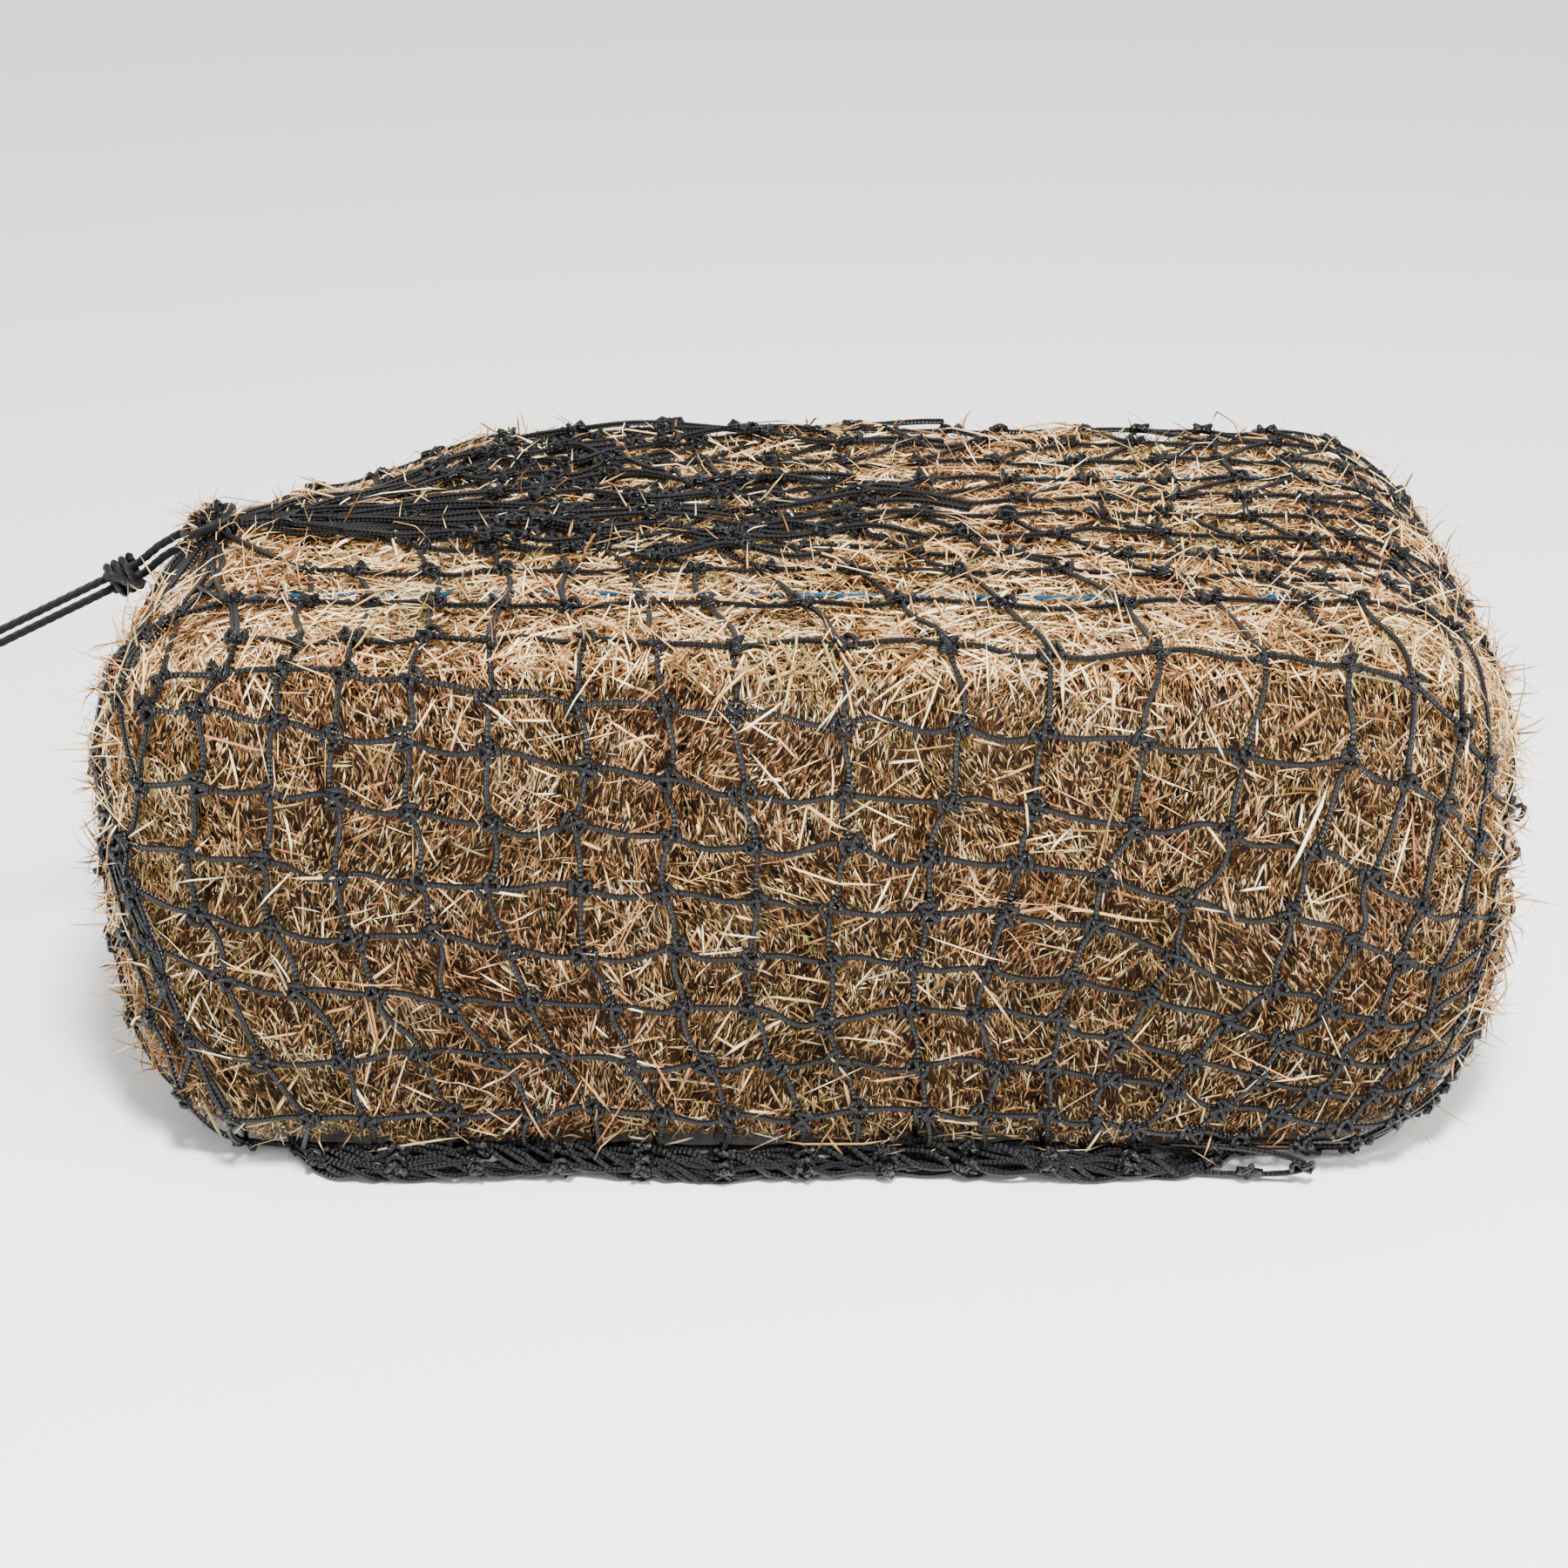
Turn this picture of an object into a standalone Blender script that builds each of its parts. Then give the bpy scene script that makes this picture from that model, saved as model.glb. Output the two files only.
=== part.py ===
"""Hay net drawn closed round a small square bale, with the draw knot that slides on its cord.

Metres, +Z up. X runs along the bale, and the mouth of the net is at the -X end, on top.
Z is 0 at the floor that the net lies on. The bale is an extruded rounded rectangle whose
ends are drawn in on a quarter circle, and the net lies round it at a fixed distance.
"""

import math

import bmesh
import bpy
from mathutils import Matrix, Vector

# Bale
BALE_LENGTH = 0.914
BALE_WIDTH = 0.452
BALE_HEIGHT = 0.354
EDGE_RADIUS = 0.045        # of the four long edges
END_RADIUS = 0.110         # by which the sides turn in to the ends
EDGE_SEGMENTS = 3
FLAKE_COUNT = 12
FLAKE_GAP = 0.0008
FLAKE_STEPS_DEG = (0.0, 30.0, 55.0, 75.0, 90.0)

# String that ties the bale
STRING_RADIUS = 0.0015
STRING_OFFSET = 0.110      # of each string from the middle, along Y
STRING_STEPS = 15          # of the string over each turned-in corner
STRING_KNOT_RADIUS = 0.005
STRING_KNOT_FLATNESS = 0.42

# Net
NET_TWINE = 0.005          # thickness of the net's twine
MESH_PITCH = 0.088         # widest spacing of the lattice
NET_SLACK = 0.0040         # room between the string and the net
NET_CHORD_SAG = 0.0042     # of a straight strut inside the turned-in ends' true arc
FLOOR_PRESS = 0.0012       # by which the twine on the floor is pressed flat
CLEARANCE = 0.0003         # between pieces that touch

# Mouth
MOUTH_ANGLE = math.radians(25.0)   # of the neck, round the turned-in end
LEGS_START = -0.235                # X where the rim's long legs leave the top of the net
TOP_LEGS = 7
END_LEGS = 5
LEG_RADIUS = 0.00225
TOP_FAN = 0.150            # half width over which the legs spread on top
END_FAN = 0.072            # half width over which the legs spread on the end
TOP_LEGS_TURN = math.radians(76.0)
END_LEGS_TURN = math.radians(62.0)
TOP_LEG_ANGLES = (math.radians(12.0), 0.0)
END_LEG_ANGLES = tuple(math.radians(a) for a in (40.0, 55.0, 70.0, 88.0))
NECK_RADIUS = 0.0150
NECK_HEIGHT = 0.0260
NOOSE_GAP = 0.0037         # between the drawcord and the legs under it

# Drawcord
CORD_RADIUS = 0.0030
CORD_WALL = 0.0010         # of the draw knot, between the two tails' bores
CORD_DIRECTION = Vector((-0.860, -0.250, -0.360)).normalized()
CORD_SIDE = CORD_DIRECTION.cross(Vector((0.0, -1.0, 0.0))).normalized()
DRAW_KNOT_ANGLE = math.radians(55.5)  # of the draw knot, round the turned-in end
DRAW_KNOT_GAP = 0.0072     # between it and the legs under it
DRAW_KNOT_LENGTH = 0.026
DRAW_KNOT_RADIUS = 0.0125
KNOT_BORE_CLEARANCE = 0.0005
TAIL_LENGTH = 0.165        # of each tail, from the draw knot's middle
TAIL_BOW = 0.0015          # of each tail, between the noose and the draw knot
END_KNOT_RADIUS = 0.0110
CORD_STEP = 0.013          # between two points of a cord

# Slack net under the front edge, and the tie at the closed end
ROLL_RADIUS = 0.0080
ROLL_ENDS = (-0.345, 0.290)
ROLL_SWAY = 0.004
BASE_TIE_RADIUS = 0.011
BASE_TIE_FLATNESS = 0.35

STRING_LIFT = CLEARANCE + STRING_RADIUS
CORD_SPACING = 2.0 * (CORD_RADIUS + KNOT_BORE_CLEARANCE) + CORD_WALL
NOOSE_LIFT = LEG_RADIUS + NOOSE_GAP + CORD_RADIUS + CORD_SPACING / 2.0
DRAW_KNOT_LIFT = LEG_RADIUS + DRAW_KNOT_GAP + DRAW_KNOT_RADIUS
NET_LIFT = 2.0 * STRING_LIFT + NET_SLACK + NET_TWINE / 2.0
BALE_BOTTOM = NET_LIFT + NET_TWINE / 2.0 - FLOOR_PRESS
BALE_MIDDLE = BALE_BOTTOM + BALE_HEIGHT / 2.0
CORE_Y = BALE_WIDTH / 2.0 - EDGE_RADIUS
CORE_Z = BALE_HEIGHT / 2.0 - EDGE_RADIUS
STRAIGHT = BALE_LENGTH / 2.0 - END_RADIUS

COLOURS = {
    "hay": ((0.46, 0.31, 0.13, 1.0), 0.85),
    "net_twine": ((0.012, 0.012, 0.014, 1.0), 0.45),
    "cord": ((0.010, 0.010, 0.012, 1.0), 0.38),
    "bale_string": ((0.02, 0.16, 0.36, 1.0), 0.40),
}


def clear_scene():
    for old in list(bpy.data.objects):
        bpy.data.objects.remove(old)


def make_materials():
    made = {}
    for name, (colour, roughness) in COLOURS.items():
        material = bpy.data.materials.new(name)
        material.use_nodes = True
        shader = material.node_tree.nodes["Principled BSDF"]
        shader.inputs["Base Color"].default_value = colour
        shader.inputs["Roughness"].default_value = roughness
        made[name] = material
    return made


class Workshop:
    """The collections and materials that every piece is made with."""

    def __init__(self):
        self.materials = make_materials()
        self.parts = bpy.data.collections.new("hay_net")
        self.cutters = bpy.data.collections.new("cutters")
        bpy.context.scene.collection.children.link(self.parts)
        bpy.context.scene.collection.children.link(self.cutters)

    def add(self, name, data, material):
        piece = bpy.data.objects.new(name, data)
        data.materials.append(self.materials[material])
        self.parts.objects.link(piece)
        return piece

    def solid(self, name, shape, material):
        """A piece from a bmesh, shaded smooth with its sharp edges kept."""
        mesh = bpy.data.meshes.new(name)
        bmesh.ops.recalc_face_normals(shape, faces=shape.faces)
        shape.to_mesh(mesh)
        shape.free()
        mesh.shade_smooth()
        mesh.set_sharp_from_angle(angle=math.radians(40.0))
        return self.add(name, mesh, material)

    def cutter(self, name, mesh):
        """A helper that only cuts."""
        piece = bpy.data.objects.new(name, mesh)
        piece.display_type = "WIRE"
        piece.hide_render = True
        self.cutters.objects.link(piece)
        return piece

    def cut(self, piece, cutter):
        trim = piece.modifiers.new(cutter.name, "BOOLEAN")
        trim.object = cutter
        trim.operation = "DIFFERENCE"

    def tube(self, name, points, radius, material):
        curve = bpy.data.curves.new(name, "CURVE")
        curve.dimensions = "3D"
        curve.bevel_depth = radius
        curve.bevel_resolution = 2
        curve.use_fill_caps = True
        spline = curve.splines.new("POLY")
        spline.points.add(len(points) - 1)
        for point, place in zip(spline.points, points):
            point.co = (*place, 1.0)
        return self.add(name, curve, material)


def end_inset(x, lift):
    """How far the sides have turned in at x, on a surface this far outside the bale."""
    radius = END_RADIUS + lift
    past = min(max(abs(x) - STRAIGHT, 0.0), radius)
    return radius - math.sqrt(radius * radius - past * past)


def drawn_in(value, core, inset):
    """One cross coordinate of a point, once its face's flat stretch is shorter by inset."""
    flat = min(abs(value), core) * (core - inset) / core
    return math.copysign(flat + max(abs(value) - core, 0.0), value)


def on_bale(x, y, z, lift):
    """A point of the straight prism, drawn in as the bale's ends are. z is from the middle."""
    inset = end_inset(x, lift)
    return Vector((x, drawn_in(y, CORE_Y, inset), BALE_MIDDLE + drawn_in(z, CORE_Z, inset)))


def end_profile(angle, y, lift):
    """A point over the mouth end, this angle from the top round to the flat end face."""
    radius = END_RADIUS + lift
    x = -STRAIGHT - radius * math.sin(angle)
    z = BALE_MIDDLE + BALE_HEIGHT / 2.0 - END_RADIUS + radius * math.cos(angle)
    return Vector((x, y, z))


def flake(shop, index):
    """One slab of pressed hay: a bevelled box cut to stations, then drawn in."""
    pitch = BALE_LENGTH / FLAKE_COUNT
    low = -BALE_LENGTH / 2.0 + index * pitch + FLAKE_GAP / 2.0
    high = low + pitch - FLAKE_GAP
    shape = bmesh.new()
    size = Matrix.Diagonal((high - low, BALE_WIDTH, BALE_HEIGHT, 1.0))
    place = Matrix.Translation(((low + high) / 2.0, 0.0, 0.0))
    bmesh.ops.create_cube(shape, size=1.0, matrix=place @ size)
    long_edges = [e for e in shape.edges if abs(e.verts[0].co.x - e.verts[1].co.x) > pitch / 2.0]
    bmesh.ops.bevel(
        shape, geom=long_edges, offset=EDGE_RADIUS, segments=EDGE_SEGMENTS, profile=0.5, affect="EDGES"
    )
    for angle in FLAKE_STEPS_DEG:
        station = STRAIGHT + END_RADIUS * math.sin(math.radians(angle))
        for x in (-station, station):
            if low + FLAKE_GAP < x < high - FLAKE_GAP:
                bmesh.ops.bisect_plane(
                    shape, geom=shape.verts[:] + shape.edges[:] + shape.faces[:],
                    plane_co=(x, 0.0, 0.0), plane_no=(1.0, 0.0, 0.0),
                )
    for vertex in shape.verts:
        vertex.co = on_bale(*vertex.co, 0.0)
    bmesh.ops.triangulate(shape, faces=shape.faces)
    shop.solid(f"flake_{index + 1:02d}", shape, "hay")


def string_route(y):
    """Points round the bale's length, from the knot under it to the knot again.

    The string runs at this y, and slips in where the turned-in end is narrower than that.
    """
    lift = STRING_LIFT
    half = BALE_HEIGHT / 2.0 + lift
    radius = END_RADIUS + lift
    corners = ((1, -1), (1, 1), (-1, 1), (-1, -1))
    gap = STRING_KNOT_RADIUS + CLEARANCE
    route = [Vector((gap, y, BALE_MIDDLE - half))]
    for number, (side_x, side_z) in enumerate(corners):
        first = math.radians(-90.0 + 90.0 * number)
        for step in range(STRING_STEPS + 1):
            turn = first + math.radians(90.0) * step / STRING_STEPS
            x = side_x * STRAIGHT + radius * math.cos(turn)
            z = side_z * (BALE_HEIGHT / 2.0 - END_RADIUS) + radius * math.sin(turn)
            slipped = math.copysign(min(abs(y), CORE_Y - end_inset(x, lift)), y)
            route.append(Vector((x, slipped, BALE_MIDDLE + z)))
    route.append(Vector((-gap, y, BALE_MIDDLE - half)))
    return route


def baling_string(shop, place, y):
    shop.tube(f"baling_string_{place}", string_route(y), STRING_RADIUS, "bale_string")
    shape = bmesh.new()
    flat = Matrix.Diagonal((1.0, 1.0, STRING_KNOT_FLATNESS, 1.0))
    height = BALE_BOTTOM - CLEARANCE - STRING_KNOT_RADIUS * STRING_KNOT_FLATNESS
    bmesh.ops.create_uvsphere(
        shape, u_segments=12, v_segments=6, radius=STRING_KNOT_RADIUS,
        matrix=Matrix.Translation((0.0, y, height)) @ flat,
    )
    shop.solid(f"string_knot_{place}", shape, "bale_string")


def spaced(low, high, pitch):
    """Even stations from low to high, no further apart than pitch."""
    count = max(1, math.ceil((high - low) / pitch - 1e-6))
    return [low + (high - low) * i / count for i in range(count + 1)]


def lattice(shop, name, columns, rows, place):
    """A net of square struts: a flat grid whose points are placed, then the Wireframe modifier."""
    shape = bmesh.new()
    bmesh.ops.create_grid(shape, x_segments=len(columns) - 1, y_segments=len(rows) - 1, size=0.5)
    for vertex in shape.verts:
        column = round((vertex.co.x + 0.5) * (len(columns) - 1))
        row = round((vertex.co.y + 0.5) * (len(rows) - 1))
        vertex.co = place(columns[column], rows[row])
    mesh = bpy.data.meshes.new(name)
    shape.to_mesh(mesh)
    shape.free()
    piece = shop.add(name, mesh, "net_twine")
    wires = piece.modifiers.new("twine", "WIREFRAME")
    wires.thickness = NET_TWINE
    wires.use_even_offset = False
    wires.use_boundary = True
    wires.use_replace = True
    return piece


def along_stations(low, high):
    """X stations of a zone: even along the straight sides, then by angle round each end."""
    radius = END_RADIUS + NET_LIFT
    count = math.ceil(math.pi / 4.0 / math.acos(1.0 - NET_CHORD_SAG / radius))
    turns = [math.pi / 2.0 * step / count for step in range(1, count)]
    turns.append(math.pi / 2.0 - (NET_TWINE + CLEARANCE) / radius)
    end = [STRAIGHT + radius * math.sin(turn) for turn in turns]
    left = [-x for x in reversed(end)] if low < -STRAIGHT else []
    right = end if high > STRAIGHT else []
    return left + spaced(max(low, -STRAIGHT), min(high, STRAIGHT), MESH_PITCH) + right


def across_stations(core):
    """Stations across a face, by length: its flat stretch, and half of each rounded edge."""
    edge = (EDGE_RADIUS + NET_LIFT) * math.pi / 4.0 - NET_TWINE / 2.0 - CLEARANCE
    return [-core - edge] + spaced(-core, core, MESH_PITCH) + [core + edge]


def across(length, core):
    """(sideways, outward) of a point this length across a face, outward from the core box."""
    radius = EDGE_RADIUS + NET_LIFT
    past = max(abs(length) - core, 0.0) / radius
    sideways = min(abs(length), core) + radius * math.sin(past)
    return math.copysign(sideways, length), radius * math.cos(past)


def net_side(shop, name, upright, facing, low):
    """A lattice over one long side: upright for front and back, facing +1 or -1."""
    core, depth = (CORE_Z, CORE_Y) if upright else (CORE_Y, CORE_Z)

    def place(x, length):
        sideways, outward = across(length, core)
        normal = facing * (depth + outward)
        pair = (normal, sideways) if upright else (sideways, normal)
        return on_bale(x, *pair, NET_LIFT)

    return lattice(shop, name, along_stations(low, BALE_LENGTH), across_stations(core), place)


def press_flat(shop, net_bottom):
    """Cuts the underside flat where the net lies on the floor, as its own weight presses it."""
    shape = bmesh.new()
    size = Matrix.Diagonal((2.0 * BALE_LENGTH, 2.0 * BALE_WIDTH, BALE_HEIGHT, 1.0))
    place = Matrix.Translation((0.0, 0.0, -BALE_HEIGHT / 2.0))
    bmesh.ops.create_cube(shape, size=1.0, matrix=place @ size)
    mesh = bpy.data.meshes.new("floor_cutter")
    shape.to_mesh(mesh)
    shape.free()
    shop.cut(net_bottom, shop.cutter("floor_cutter", mesh))


def end_net_stations():
    """Stations across and up an end's lattice, inside the turned-in sides' corners."""
    turned_in = END_RADIUS + (EDGE_RADIUS + NET_LIFT) * (1.0 - math.sqrt(0.5))
    half_y, half_z = BALE_WIDTH / 2.0 - turned_in, BALE_HEIGHT / 2.0 - turned_in
    return spaced(-half_y, half_y, MESH_PITCH), spaced(-half_z, half_z, MESH_PITCH)


def net_end(shop, name, facing):
    """A flat lattice over one end."""
    across_end, up_end = end_net_stations()
    x = facing * (BALE_LENGTH / 2.0 + NET_LIFT)
    lattice(shop, name, across_end, up_end, lambda y, z: Vector((x, y, BALE_MIDDLE + z)))


def neck_frame():
    """(place, outward) of the neck: where the legs meet, and the surface's normal there."""
    outward = Vector((-math.sin(MOUTH_ANGLE), 0.0, math.cos(MOUTH_ANGLE)))
    return end_profile(MOUTH_ANGLE, 0.0, NET_LIFT), outward


def leg_start(turn):
    """Where a leg leaves the neck, this turn from +X in the neck's own plane."""
    place, outward = neck_frame()
    along = Vector((0.0, 1.0, 0.0)).cross(outward).normalized()
    reach = NECK_RADIUS + CLEARANCE + LEG_RADIUS / 2.0
    return place + reach * (along * math.cos(turn) + Vector((0.0, 1.0, 0.0)) * math.sin(turn))


def rim_leg(shop, number, turn, target_y, angles, end_x):
    """A long twine of the rim, from the neck over the bale's surface to the first knots."""
    start = leg_start(turn)
    beyond = [end_profile(a, 0.0, NET_LIFT) for a in angles]
    if end_x is not None:
        flat = spaced(-STRAIGHT, end_x, 0.05)[1:]
        beyond += [Vector((x, 0.0, beyond[-1].z)) for x in flat]
    total = len(beyond)
    route = [start]
    for step, place in enumerate(beyond, 1):
        y = start.y + (target_y - start.y) * step / total
        route.append(Vector((place.x, y, place.z)))
    shop.tube(f"rim_leg_{number:02d}", route, LEG_RADIUS, "net_twine")


def rim_legs(shop):
    for i in range(TOP_LEGS):
        share = 2.0 * i / (TOP_LEGS - 1) - 1.0
        end_x = LEGS_START - NET_TWINE
        rim_leg(
            shop, i + 1, share * TOP_LEGS_TURN, share * TOP_FAN,
            TOP_LEG_ANGLES, end_x,
        )
    for i in range(END_LEGS):
        share = 2.0 * i / (END_LEGS - 1) - 1.0
        rim_leg(
            shop, TOP_LEGS + i + 1, math.pi - share * END_LEGS_TURN, share * END_FAN,
            END_LEG_ANGLES, None,
        )


def turned(outward):
    """The turn that takes +Z to outward."""
    return outward.to_track_quat("Z", "Y").to_matrix().to_4x4()


def neck(shop):
    """The bunched rim: a barrel, and the drawcord's noose drawn round it."""
    place, outward = neck_frame()
    shape = bmesh.new()
    middle = place + outward * (NECK_HEIGHT / 2.0 - LEG_RADIUS)
    bmesh.ops.create_cone(
        shape, cap_ends=True, segments=16, radius1=NECK_RADIUS, radius2=NECK_RADIUS * 0.8,
        depth=NECK_HEIGHT, matrix=Matrix.Translation(middle) @ turned(outward),
    )
    shop.solid("neck", shape, "net_twine")
    bpy.ops.mesh.primitive_torus_add(
        major_radius=NECK_RADIUS + CORD_RADIUS + CLEARANCE, minor_radius=CORD_RADIUS,
        major_segments=24, minor_segments=8, rotation=turned(outward).to_euler(),
        location=place + outward * NOOSE_LIFT,
    )
    noose = bpy.context.object
    noose.name = "drawcord_noose"
    noose.data.materials.append(shop.materials["cord"])
    noose.data.shade_smooth()
    noose.users_collection[0].objects.unlink(noose)
    shop.parts.objects.link(noose)


def draw_knot_place():
    """The draw knot's middle: over the turned-in end, clear of the net."""
    return end_profile(DRAW_KNOT_ANGLE, 0.0, NET_LIFT + DRAW_KNOT_LIFT)


def tail_route(side):
    """A tail of the drawcord: it bows from the noose to the draw knot, then runs straight."""
    place, outward = neck_frame()
    offset = CORD_SIDE * (side * CORD_SPACING / 2.0)
    knot_place = draw_knot_place()
    straight_from = knot_place - CORD_DIRECTION * (DRAW_KNOT_LENGTH / 2.0)
    middle = place + outward * NOOSE_LIFT
    away = (straight_from - middle).normalized()
    start = middle + away * (NECK_RADIUS + 3.0 * CORD_RADIUS + CLEARANCE)
    bend = start.lerp(straight_from, 0.5) + outward * TAIL_BOW
    route = [start + offset, bend + offset, straight_from + offset]
    run = (knot_place + CORD_DIRECTION * TAIL_LENGTH) - straight_from
    for travelled in spaced(0.0, run.length, CORD_STEP)[1:]:
        route.append(straight_from + offset + CORD_DIRECTION * travelled)
    return route


def drawcord(shop):
    for name, side in (("drawcord_upper", 1.0), ("drawcord_lower", -1.0)):
        shop.tube(name, tail_route(side), CORD_RADIUS, "cord")
    shape = bmesh.new()
    middle = draw_knot_place() + CORD_DIRECTION * (TAIL_LENGTH + END_KNOT_RADIUS + CLEARANCE)
    bmesh.ops.create_uvsphere(
        shape, u_segments=16, v_segments=8, radius=END_KNOT_RADIUS,
        matrix=Matrix.Translation(middle) @ turned(CORD_DIRECTION),
    )
    shop.solid("end_knot", shape, "cord")


def draw_knot(shop):
    """The sliding knot: a stout round body with a running bore for each tail of the cord."""
    slide_axis = bpy.data.objects.new("draw_knot_slide", None)
    slide_axis.matrix_world = Matrix.Translation(draw_knot_place()) @ turned(CORD_DIRECTION)
    shop.parts.objects.link(slide_axis)
    bpy.context.view_layer.update()
    shape = bmesh.new()
    bmesh.ops.create_uvsphere(
        shape, u_segments=18, v_segments=10, radius=1.0,
        matrix=Matrix.Diagonal((DRAW_KNOT_RADIUS, DRAW_KNOT_RADIUS, DRAW_KNOT_LENGTH / 2.0, 1.0)),
    )
    knot = shop.solid("draw_knot", shape, "cord")
    knot.parent = slide_axis
    sideways = slide_axis.matrix_world.to_3x3().inverted() @ CORD_SIDE
    for number, side in enumerate((1.0, -1.0), 1):
        bore = bmesh.new()
        bmesh.ops.create_cone(
            bore, cap_ends=True, segments=16, radius1=CORD_RADIUS + KNOT_BORE_CLEARANCE,
            radius2=CORD_RADIUS + KNOT_BORE_CLEARANCE, depth=2.0 * DRAW_KNOT_LENGTH,
            matrix=Matrix.Translation(sideways * (side * CORD_SPACING / 2.0)),
        )
        mesh = bpy.data.meshes.new(f"bore_{number}")
        bore.to_mesh(mesh)
        bore.free()
        cutter = shop.cutter(f"bore_{number}", mesh)
        cutter.parent = slide_axis
        shop.cut(knot, cutter)


def slack_roll(shop):
    """Slack net bunched into a roll on the floor, tucked under the front edge."""
    low, high = ROLL_ENDS
    reach = EDGE_RADIUS + NET_LIFT + NET_TWINE / 2.0 + ROLL_RADIUS + 2.0 * CLEARANCE
    drop = EDGE_RADIUS + BALE_BOTTOM - ROLL_RADIUS
    y_middle = -CORE_Y - math.sqrt(reach * reach - drop * drop)
    route = []
    for x in spaced(low, high, 0.03):
        sway = ROLL_SWAY * math.sin((x - low) * 31.0) ** 2
        route.append(Vector((x, y_middle - sway, ROLL_RADIUS)))
    shop.tube("slack_roll", route, ROLL_RADIUS, "net_twine")


def base_tie(shop):
    """The twine knot that closes the net's far end, in one of its low meshes."""
    shape = bmesh.new()
    x = BALE_LENGTH / 2.0 + 2.0 * STRING_LIFT + CLEARANCE + BASE_TIE_RADIUS * BASE_TIE_FLATNESS
    across_end, up_end = end_net_stations()
    middle = len(across_end) // 2
    y = (across_end[middle - 1] + across_end[middle]) / 2.0
    z = BALE_MIDDLE + (up_end[0] + up_end[1]) / 2.0
    flat = Matrix.Diagonal((BASE_TIE_FLATNESS, 1.0, 1.0, 1.0))
    bmesh.ops.create_uvsphere(
        shape, u_segments=14, v_segments=8, radius=BASE_TIE_RADIUS,
        matrix=Matrix.Translation((x, y, z)) @ flat,
    )
    shop.solid("base_tie", shape, "net_twine")


def main():
    clear_scene()
    shop = Workshop()
    for index in range(FLAKE_COUNT):
        flake(shop, index)
    baling_string(shop, "front", -STRING_OFFSET)
    baling_string(shop, "rear", STRING_OFFSET)
    net_side(shop, "net_front", True, -1.0, -BALE_LENGTH)
    net_side(shop, "net_back", True, 1.0, -BALE_LENGTH)
    press_flat(shop, net_side(shop, "net_bottom", False, -1.0, -BALE_LENGTH))
    net_side(shop, "net_top", False, 1.0, LEGS_START)
    net_end(shop, "net_mouth_end", -1.0)
    net_end(shop, "net_base_end", 1.0)
    rim_legs(shop)
    neck(shop)
    drawcord(shop)
    draw_knot(shop)
    slack_roll(shop)
    base_tie(shop)


main()
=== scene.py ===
"""Hay net drawn closed round a small square bale: the finished surfaces over the CAD frame.

Metres, +Z up, X along the bale, the mouth of the net at the -X end on top, Z 0 at the floor.
Every surface is computed with numpy. The bale's form is a rounded box whose ends are drawn in
on a quarter circle; hay, string and net all lie on that form at some distance called the lift.
"""

import logging
import math
from dataclasses import dataclass, field
from enum import Enum

import bpy
import numpy as np
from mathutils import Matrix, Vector


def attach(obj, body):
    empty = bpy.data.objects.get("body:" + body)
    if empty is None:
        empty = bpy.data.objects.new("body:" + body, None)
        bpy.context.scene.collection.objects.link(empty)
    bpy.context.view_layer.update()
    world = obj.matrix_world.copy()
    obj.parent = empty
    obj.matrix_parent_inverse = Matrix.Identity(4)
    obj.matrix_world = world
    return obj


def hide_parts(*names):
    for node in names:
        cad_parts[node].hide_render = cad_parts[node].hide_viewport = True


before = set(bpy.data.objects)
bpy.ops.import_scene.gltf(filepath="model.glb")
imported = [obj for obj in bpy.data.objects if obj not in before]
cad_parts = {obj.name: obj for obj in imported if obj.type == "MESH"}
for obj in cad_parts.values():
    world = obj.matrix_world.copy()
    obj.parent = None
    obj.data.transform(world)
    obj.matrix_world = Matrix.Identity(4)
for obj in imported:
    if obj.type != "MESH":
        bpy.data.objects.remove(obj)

log = logging.getLogger("hay_net")

ROOT_BODY = "net_and_bale"
KNOT_BODY = "draw_knot"
ATLAS_MAP = "OFBake"
LAY_MAP = "lay"
TONE = "tone"
FLOOR = 0.0003  # nothing is lower: twine under the bale is pressed flat on the floor
PRESS = 0.042  # how far the drawn net presses down the bale's rear corner at the mouth
CELL_ROOM = 0.06  # left free at each side of a copy's cell on its piece's sheet
MOUTH = (-0.3978, 0.0, 0.3643)  # where the net's rim is gathered
MOUTH_LEAN = math.radians(25.0)  # of the gather's axis, from upright towards -X
DETAIL = 1.0


def unit(vectors: np.ndarray) -> np.ndarray:
    """Each vector of the last axis divided by its own length."""
    return vectors / np.maximum(np.linalg.norm(vectors, axis=-1, keepdims=True), 1e-12)


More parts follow.
